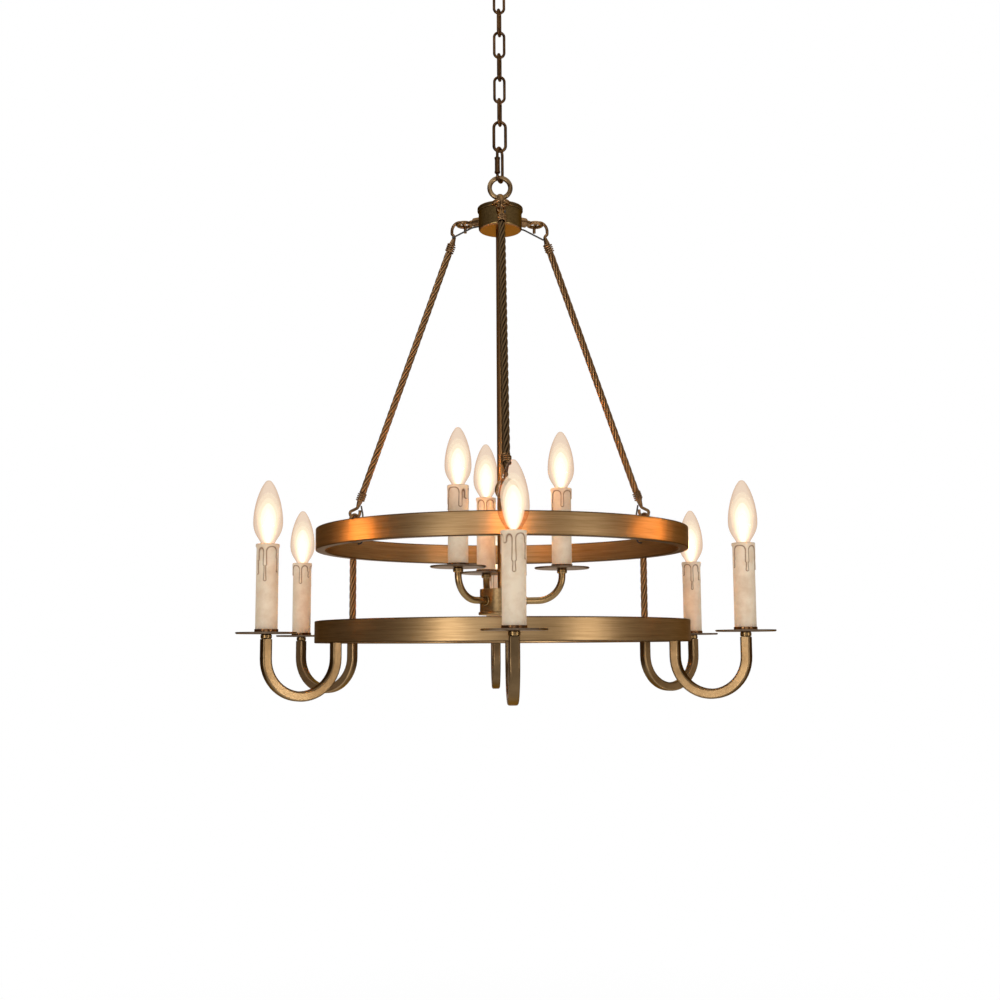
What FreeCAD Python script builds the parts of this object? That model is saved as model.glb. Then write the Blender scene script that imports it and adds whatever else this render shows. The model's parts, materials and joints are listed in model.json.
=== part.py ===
"""Wagon wheel chandelier: two brass hoops, six outer and three inner candle lamps, hung on a chain.

Lengths are in millimetres and angles in degrees. The origin is the middle of the ceiling face, +Z is up, and
the front of the lamp faces -Y. An azimuth is counted from the front, round towards +X. Each lamp, rod and arm is
drawn on the +X side, in the plane of its own radius, and then turned to its azimuth.
"""

import FreeCAD, Part
import math
import os

Vector = FreeCAD.Vector
UP = Vector(0, 0, 1)
ALONG_X = Vector(1, 0, 0)
ALONG_Y = Vector(0, 1, 0)

# ---- clearances ------------------------------------------------------------------------------------------
HANG_GAP = 0.3  # between two rings, links or hooks that hang in each other
RUN_CLEARANCE = 0.05  # radial, of a tube or thread that turns in its hole
THREAD_CLEARANCE = 0.1  # radial, of a thread that is screwed tight
LOOSE_CLEARANCE = 0.3  # of a bulb in its socket, and radial of a wire in its hole

# ---- ceiling fitting -------------------------------------------------------------------------------------
STRAP_LENGTH = 96.0
STRAP_WIDTH = 20.0
STRAP_THICKNESS = 2.5
SLOT_SPACING = 70.0  # between the middles of the two slots
SLOT_LENGTH = 12.0  # end to end
SLOT_WIDTH = 4.8
NIPPLE_RADIUS = 4.9
NIPPLE_BORE = 3.4
NIPPLE_SET_BACK = 0.3  # the nipple's end lies this far under the ceiling
LOCK_NUT_ACROSS = 14.0
LOCK_NUT_HEIGHT = 4.0
CANOPY_RADIUS = 64.0
CANOPY_HEIGHT = 28.0
CANOPY_RIM = 3.0  # upright edge against the ceiling
CANOPY_FLAT = 14.0  # radius of its flat middle
CANOPY_WALL = 1.2
COLLAR_NUT_RADIUS = 11.0
COLLAR_NUT_HEIGHT = 5.0
CANOPY_LOOP_COLLAR_RADIUS = 8.0
CANOPY_LOOP_COLLAR_HEIGHT = 10.0
CANOPY_LOOP_DIAMETER = 28.0
CANOPY_LOOP_WIRE = 4.5
SCREW_DEPTH = 6.0  # of the nipple in the loop's collar

# ---- chain -----------------------------------------------------------------------------------------------
LINK_COUNT = 6
LINK_LENGTH = 40.65
LINK_WIDTH = 17.6
LINK_WIRE = 3.8
LINK_TURN = 76.0  # of every second link against the links between them
CONNECTING_LENGTH = 46.3
CONNECTING_WIDTH = 20.3
CONNECTING_WIRE = 4.2
QUICK_LENGTH = 52.2
QUICK_WIDTH = 21.0
QUICK_WIRE = 4.0
QUICK_TURN = 64.0
QUICK_GAP = 7.6  # opening in its side, under the sleeve nut
QUICK_GAP_DROP = 8.8  # from the link's middle to the opening's middle
QUICK_NUT_LENGTH = 22.0
QUICK_NUT_RADIUS = 3.5
QUICK_NUT_BEAD = 0.4
QUICK_NUT_DROP = 3.4  # from the link's middle to the nut's middle
RING_DIAMETER = 35.0
RING_WIRE = 6.5

# ---- top hub ---------------------------------------------------------------------------------------------
HUB_RADIUS = 29.5
HUB_HEIGHT = 32.0
HUB_WALL = 1.6
HUB_EDGE = 3.0  # rounding of the drum's lower edge
CAP_LIP = 1.6  # of the lid, past the drum
CAP_RIM_HEIGHT = 6.0
CAP_THICKNESS = 2.0
BOSS_RADIUS = 5.4
BOSS_HEIGHT = 20.0
BOSS_HOLE_HEIGHT = 14.7  # of the ring's wire over the lid
RING_CLEARANCE = 0.4
EYE_RADIUS = 56.6  # from the hub's axis to the middle of an eye
EYE_DROP = 13.5  # from the hub's top to the plane of the eyes
EYE_DIAMETER = 24.0
EYE_WIRE = 5.0
EYE_BOSS_RADIUS = 6.5
EYE_BOSS_LENGTH = 12.0
EYE_NECK_RADIUS = 4.2
EYE_SHANK_RADIUS = 3.0
EYE_SHANK_LENGTH = 9.0
EYE_NUT_ACROSS = 10.0
EYE_NUT_HEIGHT = 4.0

# ---- stem ------------------------------------------------------------------------------------------------
STEM_RADIUS = 6.0
STEM_BORE = 4.4
STEM_LENGTH = 489.0  # between the top hub and the lower hub
STEM_COLLAR_RADIUS = 8.2
STEM_COLLAR_HEIGHT = 4.0
STEM_COLLAR_RISE = 22.0  # over the lower hub
STEM_NUT_ACROSS = 18.0
STEM_NUT_HEIGHT = 6.0
SWIVEL_GAP = 0.1  # between the lower hub and the nut that it rests on

# ---- suspension rods -------------------------------------------------------------------------------------
ROD_COUNT = 3
ROD_TURN = -0.8  # of the rods and their loops, against the arms
ROD_DROP = 395.5  # from the plane of the eyes to the wire in the top of a hoop's loop
ROD_RADIUS = 4.85
ROD_BORE = 2.6
ROD_TIP_RADIUS = 4.0  # necked end under the whipping
ROD_TIP_LENGTH = 14.0
CONE_LENGTH = 10.0
HOOK_WIRE = 4.2
TOP_HOOK_REACH = 16.0  # from the eye's wire to the cone's tip, along the rod
TOP_HOOK_BEND = 10.8
TOP_HOOK_TIP = 17.0  # from the bow's top to the tip's end
LOW_HOOK_REACH = 10.5
LOW_HOOK_BEND = 8.6
LOW_HOOK_TIP = 11.0
HOOK_SHOULDER = 4.5  # radius of the bend beside the cone
WHIP_WIRE = 2.3
WHIP_PITCH = 2.9
WHIP_TURNS = 4
WHIP_CLEARANCE = 0.05

# ---- hoops -----------------------------------------------------------------------------------------------
HOOP_RADIUS = 244.3  # outer face
HOOP_THICKNESS = 12.4
HOOP_HEIGHT = 28.0
HOOP_WALL = 1.5
HOOP_EDGE = 1.2
HOOP_SPACE = 91.3  # between the two hoops
LOOP_DIAMETER = 27.0
LOOP_WIRE = 5.0
LOOP_NECK = 10.0
SPACER_RADIUS = 4.85

# ---- outer arms ------------------------------------------------------------------------------------------
ARM_COUNT = 6
ARM_SIDE = 12.0  # square tube
ARM_WALL = 1.2
ARM_CORNER = 2.5
ARM_REACH = 327.0  # from the axis to a candle
ARM_STRAIGHT = 18.6  # of the inner leg, under the hoop
ARM_RISE = 4.5  # of the outer leg's end, over the hoop's underside
WIRE_HOLE_RADIUS = 3.0

# ---- candles ---------------------------------------------------------------------------------------------
NECK_RADIUS = 6.6
NECK_HEIGHT = 6.0
NECK_CHAMFER = 1.2
PAN_RADIUS = 36.0
PAN_THICKNESS = 1.0
PAN_LIP = 1.2
CUP_RADIUS = 13.9
CUP_HEIGHT = 4.6
CUP_FLOOR = 1.0
SLEEVE_RADIUS = 13.0
SLEEVE_BORE = 11.0
SLEEVE_LENGTH = 103.6
SLEEVE_FIT = 0.15
SOCKET_RADIUS = 9.8
SOCKET_HEIGHT = 32.0
SOCKET_SET_BACK = 2.0  # of the socket's mouth, under the sleeve's rim
SOCKET_PIPE_RADIUS = 4.0
SOCKET_PIPE_BORE = 2.6
BULB_BASE_RADIUS = 6.9
BULB_BASE_LENGTH = 22.0
BULB_BASE_CLEARANCE = 3.0  # under the base, in the socket
BULB_RADIUS = 17.5
BULB_VISIBLE = 76.0  # over the sleeve's rim
BULB_BELLY = 25.0  # of the widest place over the sleeve's rim
BULB_NECK_RADIUS = 7.6
BULB_GLASS = 0.9  # wall

# ---- inner cluster ---------------------------------------------------------------------------------------
CLUSTER_COUNT = 3
CLUSTER_TURN = 73.7  # azimuth of the first inner candle
LOWER_HUB_RADIUS = 29.5
LOWER_HUB_HEIGHT = 34.0
LOWER_HUB_WALL = 1.6
BASE_LIP = 1.9
BASE_THICKNESS = 4.0
INNER_REACH = 80.5
INNER_ARM_RADIUS = 4.5
INNER_ARM_BORE = 3.5
INNER_ARM_BEND = 32.0
INNER_ARM_DROP = 15.7  # from the lower hub's top to the arms' axis
INNER_ARM_RISE = 19.0  # of the arm's upper end, over the lower hub's top
INNER_ARM_SEAT = 6.0  # of the arm inside the hub's wall
COLLAR_RADIUS = 6.6
COLLAR_LENGTH = 3.0

# ---- lead wires ------------------------------------------------------------------------------------------
LEAD_WIRE = 2.3
LEAD_END_GAP = 0.8  # beside the cones and under the bosses, which the wire only lies close to
LEAD_SIDE = 5.0  # of the upper leads, past the hooks' tips
LEAD_ENTRY_DROP = 7.0  # of the lower leads' holes, under the upper hoop's top
LOW_LEAD_BOW = 13.6  # of the lower leads, inwards from the hoop's middle
TOP_LEAD_BEND = 16.0
LOW_LEAD_BEND = 12.0

# ---- heights, counted down from the ceiling --------------------------------------------------------------
collar_nut_z = -CANOPY_HEIGHT - COLLAR_NUT_HEIGHT
loop_collar_z = collar_nut_z - CANOPY_LOOP_COLLAR_HEIGHT
canopy_loop_z = loop_collar_z - CANOPY_LOOP_DIAMETER / 2 + CANOPY_LOOP_WIRE / 2
canopy_loop_low_z = canopy_loop_z - (CANOPY_LOOP_DIAMETER - CANOPY_LOOP_WIRE) / 2


def hang(low_wire_z, wire, next_length, next_wire):
    """Middle height, and lowest wire, of a link that hangs on a wire at the given height."""
    top_wire_z = low_wire_z + (wire + next_wire) / 2 + HANG_GAP
    reach = next_length - next_wire
    return top_wire_z - reach / 2, top_wire_z - reach


link_z = []
low_z = canopy_loop_low_z
low_wire = CANOPY_LOOP_WIRE
for _ in range(LINK_COUNT):
    middle_z, low_z = hang(low_z, low_wire, LINK_LENGTH, LINK_WIRE)
    low_wire = LINK_WIRE
    link_z.append(middle_z)
connecting_z, connecting_low_z = hang(low_z, low_wire, CONNECTING_LENGTH, CONNECTING_WIRE)
quick_z, quick_low_z = hang(connecting_low_z, CONNECTING_WIRE, QUICK_LENGTH, QUICK_WIRE)
ring_z, ring_low_z = hang(quick_low_z, QUICK_WIRE, RING_DIAMETER, RING_WIRE)

hub_top_z = ring_low_z - BOSS_HOLE_HEIGHT
hub_low_z = hub_top_z - HUB_HEIGHT
eye_z = hub_top_z - EYE_DROP
loop_wire_z = eye_z - ROD_DROP
loop_z = loop_wire_z - (LOOP_DIAMETER - LOOP_WIRE) / 2
upper_top_z = loop_z - LOOP_DIAMETER / 2 - LOOP_NECK
upper_low_z = upper_top_z - HOOP_HEIGHT
lower_top_z = upper_low_z - HOOP_SPACE
lower_low_z = lower_top_z - HOOP_HEIGHT
hoop_middle = HOOP_RADIUS - HOOP_THICKNESS / 2

lower_hub_top_z = hub_low_z - STEM_LENGTH
lower_hub_low_z = lower_hub_top_z - LOWER_HUB_HEIGHT
outer_neck_z = lower_low_z + ARM_RISE
inner_neck_z = lower_hub_top_z + INNER_ARM_RISE


# ---- drawing helpers -------------------------------------------------------------------------------------
def azimuths(count, turn=0.0):
    return [turn + 360.0 * i / count for i in range(count)]


def to_azimuth(shape, azimuth):
    """Turns what is drawn on the +X side to its azimuth."""
    turned = shape.copy()
    turned.rotate(Vector(), UP, azimuth - 90)
    return turned


def around(shape, angles):
    return Part.makeCompound([to_azimuth(shape, angle) for angle in angles])


def fuse(pieces):
    return pieces[0].multiFuse(pieces[1:]).removeSplitter()


def disc(radius, low_z, height, bore=0.0):
    """Upright cylinder on the axis, with a bore if one is given."""
    solid = Part.makeCylinder(radius, height, Vector(0, 0, low_z))
    if bore:
        solid = solid.cut(Part.makeCylinder(bore, height, Vector(0, 0, low_z)))
    return solid


def hexagon(across, low_z, height, bore):
    """Nut on the axis, with the given width across its flats."""
    corner = across / math.sqrt(3)
    points = [Vector(corner * math.cos(math.radians(60 * i)), corner * math.sin(math.radians(60 * i)), low_z)
              for i in range(7)]
    nut = Part.Face(Part.makePolygon(points)).extrude(Vector(0, 0, height))
    return nut.cut(Part.makeCylinder(bore, height, Vector(0, 0, low_z)))


def lathe(edges):
    """Solid of revolution from a closed outline in the XZ plane."""
    return Part.Face(Part.Wire(edges)).revolve(Vector(), UP, 360)


def outline(points):
    """Closed outline of straight edges through (radius, height) points."""
    corners = [Vector(r, 0, z) for r, z in points]
    return Part.makePolygon(corners + corners[:1]).Edges


def stadium_link(length, width, wire, opening=None):
    """Upright link in the XZ plane, round the origin. An opening is (middle height, height) of its +X side."""
    bow = (width - wire) / 2
    half = (length - width) / 2
    pieces = []
    for side in (-1, 1):
        section = Part.Face(Part.Wire(Part.makeCircle(wire / 2, Vector(bow, 0, side * half), UP)))
        pieces.append(section.revolve(Vector(0, 0, side * half), Vector(0, -side, 0), 180))
        pieces.append(Part.makeCylinder(wire / 2, 2 * half, Vector(side * bow, 0, -half)))
    link = fuse(pieces)
    if opening:
        middle, height = opening
        low = Vector(0, -wire, middle - height / 2)
        link = link.cut(Part.makeBox(width, 2 * wire, height, low))
    return link


def placed(shape, z, turn=0.0):
    moved = shape.copy()
    moved.rotate(Vector(), UP, turn)
    moved.translate(Vector(0, 0, z))
    return moved


def round_corners(points, radii):
    """Wire of straight runs joined by tangent arcs. There is one radius for each inner point."""
    edges = []
    start = points[0]
    for before, corner, after, radius in zip(points, points[1:], points[2:], radii):
        back = (before - corner).normalize()
        ahead = (after - corner).normalize()
        half = back.getAngle(ahead) / 2
        set_back = radius / math.tan(half)
        arc_start = corner + back * set_back
        arc_end = corner + ahead * set_back
        middle_way = (back + ahead).normalize()
        arc_middle = corner + middle_way * (radius / math.sin(half) - radius)
        if start.distanceToPoint(arc_start) > 1e-6:
            edges.append(Part.LineSegment(start, arc_start).toShape())
        edges.append(Part.Arc(arc_start, arc_middle, arc_end).toShape())
        start = arc_end
    edges.append(Part.LineSegment(start, points[-1]).toShape())
    return Part.Wire(edges)


def tube_along(path, radius):
    """Round solid swept along a wire, square to its start."""
    first = path.Edges[0]
    start = first.valueAt(first.FirstParameter)
    ahead = first.tangentAt(first.FirstParameter)
    section = Part.Wire(Part.makeCircle(radius, start, ahead))
    return path.makePipeShell([section], True, False)


# ---- ceiling fitting: strap, nipple, canopy and its loop -------------------------------------------------
def mounting_strap():
    """Flat steel bar with a slot near each end and a threaded hole in its middle."""
    strap = Part.makeBox(STRAP_LENGTH, STRAP_WIDTH, STRAP_THICKNESS,
                         Vector(-STRAP_LENGTH / 2, -STRAP_WIDTH / 2, -STRAP_THICKNESS))
    ends = [edge for edge in strap.Edges if abs(edge.tangentAt(0).z) > 0.9]
    strap = strap.makeFillet(STRAP_WIDTH / 4, ends)
    straight = SLOT_LENGTH - SLOT_WIDTH
    for side in (-1, 1):
        middle = side * SLOT_SPACING / 2
        cut = Part.makeBox(straight, SLOT_WIDTH, STRAP_THICKNESS,
                           Vector(middle - straight / 2, -SLOT_WIDTH / 2, -STRAP_THICKNESS))
        rounds = [Part.makeCylinder(SLOT_WIDTH / 2, STRAP_THICKNESS,
                                    Vector(middle + end * straight / 2, 0, -STRAP_THICKNESS)) for end in (-1, 1)]
        strap = strap.cut(fuse([cut] + rounds))
    return strap.cut(disc(NIPPLE_RADIUS + THREAD_CLEARANCE, -STRAP_THICKNESS, STRAP_THICKNESS))


nipple_low_z = collar_nut_z - SCREW_DEPTH


def canopy_nipple():
    """Hollow threaded pipe that carries the whole lamp."""
    return disc(NIPPLE_RADIUS, nipple_low_z, -NIPPLE_SET_BACK - nipple_low_z, NIPPLE_BORE)


def nipple_nuts():
    """Lock nut against the strap, and one that backs the canopy from inside."""
    bore = NIPPLE_RADIUS + THREAD_CLEARANCE
    under_strap = hexagon(LOCK_NUT_ACROSS, -STRAP_THICKNESS - LOCK_NUT_HEIGHT, LOCK_NUT_HEIGHT, bore)
    in_canopy = hexagon(LOCK_NUT_ACROSS, -CANOPY_HEIGHT + CANOPY_WALL, LOCK_NUT_HEIGHT, bore)
    return Part.makeCompound([under_strap, in_canopy])


def canopy_side(edge_radius, flat_z):
    """One face of the canopy's wall: its upright rim and the curve down to the flat middle."""
    rim = Vector(edge_radius, 0, -CANOPY_RIM)
    flat = Vector(CANOPY_FLAT, 0, flat_z)
    bulge = (edge_radius - CANOPY_FLAT) * 0.115
    chord_middle = (rim + flat) * 0.5
    outward = Vector(CANOPY_RIM + flat_z, 0, -(edge_radius - CANOPY_FLAT)).normalize()
    return rim, chord_middle + outward * bulge, flat


def canopy():
    """Spun bell that hides the strap, open towards the ceiling."""
    hole = NIPPLE_RADIUS + THREAD_CLEARANCE
    inner_z = -CANOPY_HEIGHT + CANOPY_WALL
    rim, bulge, flat = canopy_side(CANOPY_RADIUS, -CANOPY_HEIGHT)
    in_rim, in_bulge, in_flat = canopy_side(CANOPY_RADIUS - CANOPY_WALL, inner_z)
    lines = [(Vector(CANOPY_RADIUS, 0, 0), rim), (flat, Vector(hole, 0, -CANOPY_HEIGHT)),
             (Vector(hole, 0, -CANOPY_HEIGHT), Vector(hole, 0, inner_z)), (Vector(hole, 0, inner_z), in_flat),
             (in_rim, Vector(CANOPY_RADIUS - CANOPY_WALL, 0, 0)),
             (Vector(CANOPY_RADIUS - CANOPY_WALL, 0, 0), Vector(CANOPY_RADIUS, 0, 0))]
    edges = [Part.LineSegment(a, b).toShape() for a, b in lines]
    edges.insert(1, Part.Arc(rim, bulge, flat).toShape())
    edges.insert(5, Part.Arc(in_flat, in_bulge, in_rim).toShape())
    return lathe(edges)


def collar_nut():
    """Round nut that screws up under the canopy and holds it to the ceiling."""
    nut = disc(COLLAR_NUT_RADIUS, collar_nut_z, COLLAR_NUT_HEIGHT)
    nut = nut.makeFillet(COLLAR_NUT_HEIGHT / 4, nut.Edges)
    return nut.cut(disc(NIPPLE_RADIUS + THREAD_CLEARANCE, collar_nut_z, COLLAR_NUT_HEIGHT))


def canopy_loop():
    """Collar with a loop in the YZ plane, screwed on the nipple's end."""
    collar = disc(CANOPY_LOOP_COLLAR_RADIUS, loop_collar_z, CANOPY_LOOP_COLLAR_HEIGHT)
    low_edges = [e for e in collar.Edges if e.Closed and e.BoundBox.ZMax < loop_collar_z + 0.1]
    collar = collar.makeChamfer(CANOPY_LOOP_COLLAR_RADIUS / 4, low_edges)
    major = (CANOPY_LOOP_DIAMETER - CANOPY_LOOP_WIRE) / 2
    loop = Part.makeTorus(major, CANOPY_LOOP_WIRE / 2, Vector(0, 0, canopy_loop_z), ALONG_X)
    body = fuse([collar, loop])
    return body.cut(disc(NIPPLE_RADIUS + THREAD_CLEARANCE, nipple_low_z - RUN_CLEARANCE, SCREW_DEPTH + RUN_CLEARANCE))


# ---- chain: links, connecting link, quick link and hanging ring ------------------------------------------
def chain_link(index):
    """Welded link. The first, third and fifth face the front, and the others stand nearly edge on."""
    turn = LINK_TURN * (index % 2)
    return placed(stadium_link(LINK_LENGTH, LINK_WIDTH, LINK_WIRE), link_z[index], turn)


def connecting_link():
    """Larger link between the chain and the quick link."""
    return placed(stadium_link(CONNECTING_LENGTH, CONNECTING_WIDTH, CONNECTING_WIRE), connecting_z)


def quick_link():
    """Link with an opening in one side, which its sleeve nut covers."""
    opening = (-QUICK_GAP_DROP, QUICK_GAP)
    return placed(stadium_link(QUICK_LENGTH, QUICK_WIDTH, QUICK_WIRE, opening), quick_z, QUICK_TURN - 180)


def quick_link_nut():
    """Threaded sleeve with a bead round each end."""
    low = -QUICK_NUT_DROP - QUICK_NUT_LENGTH / 2
    bead_height = QUICK_NUT_LENGTH / 10
    beads = [disc(QUICK_NUT_RADIUS + QUICK_NUT_BEAD, at, bead_height)
             for at in (low, low + QUICK_NUT_LENGTH - bead_height)]
    nut = fuse([disc(QUICK_NUT_RADIUS, low, QUICK_NUT_LENGTH)] + beads)
    nut = nut.cut(disc(QUICK_WIRE / 2 + RUN_CLEARANCE, low, QUICK_NUT_LENGTH))
    nut.translate(Vector((QUICK_WIDTH - QUICK_WIRE) / 2, 0, 0))
    return placed(nut, quick_z, QUICK_TURN - 180)


def ring_at(z, minor):
    """The hanging ring's shape, facing the front."""
    return Part.makeTorus((RING_DIAMETER - RING_WIRE) / 2, minor, Vector(0, 0, z), ALONG_Y)


def hanging_ring():
    return ring_at(ring_z, RING_WIRE / 2)


# ---- top hub: boss, lid, drum and eyes -------------------------------------------------------------------
def ring_boss():
    """Round-topped post on the lid, with a cross hole for the hanging ring."""
    post = disc(BOSS_RADIUS, hub_top_z, BOSS_HEIGHT)
    top_edges = [e for e in post.Edges if e.Closed and e.BoundBox.ZMin > hub_top_z + BOSS_HEIGHT - 0.1]
    post = post.makeFillet(BOSS_RADIUS * 0.8, top_edges)
    return post.cut(ring_at(ring_z, RING_WIRE / 2 + RING_CLEARANCE))


def hub_cap():
    """Lid with a rounded rim that grips over the drum."""
    outer = disc(HUB_RADIUS + CAP_LIP, hub_top_z - CAP_RIM_HEIGHT, CAP_RIM_HEIGHT)
    rim_edges = [e for e in outer.Edges if e.Closed]
    outer = outer.makeFillet(CAP_LIP * 0.9, rim_edges)
    inside = disc(HUB_RADIUS + THREAD_CLEARANCE, hub_top_z - CAP_RIM_HEIGHT, CAP_RIM_HEIGHT - CAP_THICKNESS)
    return outer.cut(inside)


def hub_body():
    """Drum, open under the lid, with holes for the three eyes and the stem."""
    height = HUB_HEIGHT - CAP_THICKNESS
    drum = disc(HUB_RADIUS, hub_low_z, height)
    low_edges = [e for e in drum.Edges if e.Closed and e.BoundBox.ZMax < hub_low_z + 0.1]
    drum = drum.makeFillet(HUB_EDGE, low_edges)
    drum = drum.cut(disc(HUB_RADIUS - HUB_WALL, hub_low_z + HUB_EDGE, height - HUB_EDGE))
    eye_hole = Part.makeCylinder(EYE_SHANK_RADIUS + THREAD_CLEARANCE, HUB_RADIUS, Vector(0, 0, eye_z), ALONG_X)
    wire_hole = Part.makeCylinder(lead_hole, HUB_RADIUS, Vector(0, LEAD_SIDE, top_lead_z), ALONG_X)
    for azimuth in azimuths(ROD_COUNT, ROD_TURN):
        drum = drum.cut(to_azimuth(eye_hole, azimuth)).cut(to_azimuth(wire_hole, azimuth))
    return drum.cut(disc(STEM_RADIUS + THREAD_CLEARANCE, hub_low_z, HUB_EDGE))


def hub_eye():
    """Turned boss, hollowed to fit the drum, with a flat-lying eye and a shank through the drum's wall."""
    boss_end = HUB_RADIUS + EYE_BOSS_LENGTH
    boss = Part.makeCylinder(EYE_BOSS_RADIUS, EYE_BOSS_LENGTH, Vector(HUB_RADIUS, 0, eye_z), ALONG_X)
    boss = boss.makeFillet(EYE_BOSS_RADIUS / 5, [e for e in boss.Edges if e.Closed])
    neck = Part.makeCylinder(EYE_NECK_RADIUS, EYE_RADIUS - EYE_DIAMETER / 2 - boss_end + EYE_WIRE / 2,
                             Vector(boss_end, 0, eye_z), ALONG_X)
    shank_start = HUB_RADIUS - EYE_SHANK_LENGTH
    shank = Part.makeCylinder(EYE_SHANK_RADIUS, EYE_SHANK_LENGTH + EYE_BOSS_LENGTH / 2,
                              Vector(shank_start, 0, eye_z), ALONG_X)
    eye = Part.makeTorus((EYE_DIAMETER - EYE_WIRE) / 2, EYE_WIRE / 2, Vector(EYE_RADIUS, 0, eye_z), UP)
    return fuse([boss.cut(disc(HUB_RADIUS, hub_low_z, HUB_HEIGHT)), neck, shank, eye])


def eye_nut():
    """Nut on the shank, against the inside of the drum's wall."""
    nut = hexagon(EYE_NUT_ACROSS, 0, EYE_NUT_HEIGHT, EYE_SHANK_RADIUS + THREAD_CLEARANCE)
    nut.rotate(Vector(), ALONG_Y, 90)
    half_corner = EYE_NUT_ACROSS / math.sqrt(3)
    wall_x = math.sqrt((HUB_RADIUS - HUB_WALL) ** 2 - half_corner ** 2)
    nut.translate(Vector(wall_x - EYE_NUT_HEIGHT, 0, eye_z))
    return nut


def hub_eyes():
    angles = azimuths(ROD_COUNT, ROD_TURN)
    pieces = [to_azimuth(piece, angle) for angle in angles for piece in (hub_eye(), eye_nut())]
    return Part.makeCompound(pieces)


# ---- stem ------------------------------------------------------------------------------------------------
stem_top_z = hub_low_z + HUB_EDGE + STEM_NUT_HEIGHT + 1.0
stem_low_z = lower_hub_top_z - LOWER_HUB_WALL - SWIVEL_GAP - STEM_NUT_HEIGHT - 1.0


def stem_tube():
    """Plain tube from the top hub to the lower hub, which carries the wires of the inner lamps."""
    return disc(STEM_RADIUS, stem_low_z, stem_top_z - stem_low_z, STEM_BORE)


def stem_fittings():
    """Lock nut in the top hub, collar round the stem and the nut that the lower hub rests on."""
    bore = STEM_RADIUS + THREAD_CLEARANCE
    upper_nut = hexagon(STEM_NUT_ACROSS, hub_low_z + HUB_EDGE, STEM_NUT_HEIGHT, bore)
    collar = disc(STEM_COLLAR_RADIUS, lower_hub_top_z + STEM_COLLAR_RISE, STEM_COLLAR_HEIGHT)
    collar = collar.makeFillet(STEM_COLLAR_HEIGHT / 3, collar.Edges)
    collar = collar.cut(disc(bore, lower_hub_top_z + STEM_COLLAR_RISE, STEM_COLLAR_HEIGHT))
    lower_nut_z = lower_hub_top_z - LOWER_HUB_WALL - SWIVEL_GAP - STEM_NUT_HEIGHT
    lower_nut = hexagon(STEM_NUT_ACROSS, lower_nut_z, STEM_NUT_HEIGHT, bore)
    return Part.makeCompound([upper_nut, collar, lower_nut])


# ---- suspension rods, with their hooks and whippings -----------------------------------------------------
# The rod's axis runs from the outer wire of a hub's eye to the top wire of a hoop's loop.
eye_wire = Vector(EYE_RADIUS + (EYE_DIAMETER - EYE_WIRE) / 2, 0, eye_z)
loop_wire = Vector(hoop_middle, 0, loop_wire_z)
rod_way = (loop_wire - eye_wire).normalize()
top_cone_tip = eye_wire + rod_way * TOP_HOOK_REACH
low_cone_tip = loop_wire - rod_way * LOW_HOOK_REACH
rod_top = top_cone_tip + rod_way * CONE_LENGTH
rod_low = low_cone_tip - rod_way * CONE_LENGTH


def suspension_rod():
    """Rope-twist tube with a necked end under each whipping."""
    length = rod_top.distanceToPoint(rod_low)
    neck = ROD_TIP_LENGTH
    rod = Part.makeCylinder(ROD_RADIUS, length - 2 * neck, rod_top + rod_way * neck, rod_way)
    spigot = Part.makeCylinder(ROD_TIP_RADIUS, length, rod_top, rod_way)
    return fuse([rod, spigot]).cut(Part.makeCylinder(ROD_BORE, length, rod_top, rod_way))


def cone(tip, way):
    """Turned cone between the rod's end and the hook's wire."""
    return Part.makeCone(HOOK_WIRE / 2, ROD_TIP_RADIUS, CONE_LENGTH, tip, way)


def hook(tip, way, held_wire, held_thickness, bend, tip_length, up):
    """Wire bent from the cone out to one side, over or under the held wire and back on its other side.

    way points from the cone's tip into the rod, and up is 1 for a hook that rests on the held wire and -1 for
    one that reaches under it.
    """
    apex_z = held_wire.z + up * ((held_thickness + HOOK_WIRE) / 2 + HANG_GAP)
    outer_x = held_wire.x + bend
    inner_x = held_wire.x - bend
    sharp = 0.02  # keeps the two bends of the bow from meeting in one point
    shoulder = Vector(outer_x, 0, tip.z + up * HOOK_SHOULDER)
    points = [tip + way * (CONE_LENGTH / 2), tip, shoulder, Vector(outer_x, 0, apex_z),
              Vector(inner_x, 0, apex_z), Vector(inner_x, 0, apex_z - up * tip_length)]
    radii = [HOOK_SHOULDER * 0.7, HOOK_SHOULDER * 0.7, bend - sharp, bend - sharp]
    wire = tube_along(round_corners(points, radii), HOOK_WIRE / 2)
    return fuse([cone(tip, way), wire])


def rod_hooks():
    top = hook(top_cone_tip, rod_way, eye_wire, EYE_WIRE, TOP_HOOK_BEND, TOP_HOOK_TIP, 1)
    low = hook(low_cone_tip, rod_way * -1, loop_wire, LOOP_WIRE, LOW_HOOK_BEND, LOW_HOOK_TIP, -1)
    return [top, low]


def biarc(start, start_way, end, end_way):
    """Two arcs that leave start and reach end along the given unit directions."""
    chord = end - start
    ways = start_way + end_way
    a = ways.dot(ways) - 4
    b = -2 * chord.dot(ways)
    c = chord.dot(chord)
    handle = (-b - math.sqrt(b * b - 4 * a * c)) / (2 * a)
    handle = handle if handle > 0 else (-b + math.sqrt(b * b - 4 * a * c)) / (2 * a)
    first_corner = start + start_way * handle
    last_corner = end - end_way * handle
    joint = (first_corner + last_corner) * 0.5
    arcs = []
    for a_point, corner, b_point in ((start, first_corner, joint), (joint, last_corner, end)):
        span = a_point.distanceToPoint(b_point)
        middle = (a_point + b_point) * 0.5
        half_turn = math.acos(span / (2 * handle))
        rise = span / 2 * math.tan(half_turn / 2)
        peak = middle + (corner - middle).normalize() * rise
        arcs.append(Part.Arc(a_point, peak, b_point).toShape())
    return arcs


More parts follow.
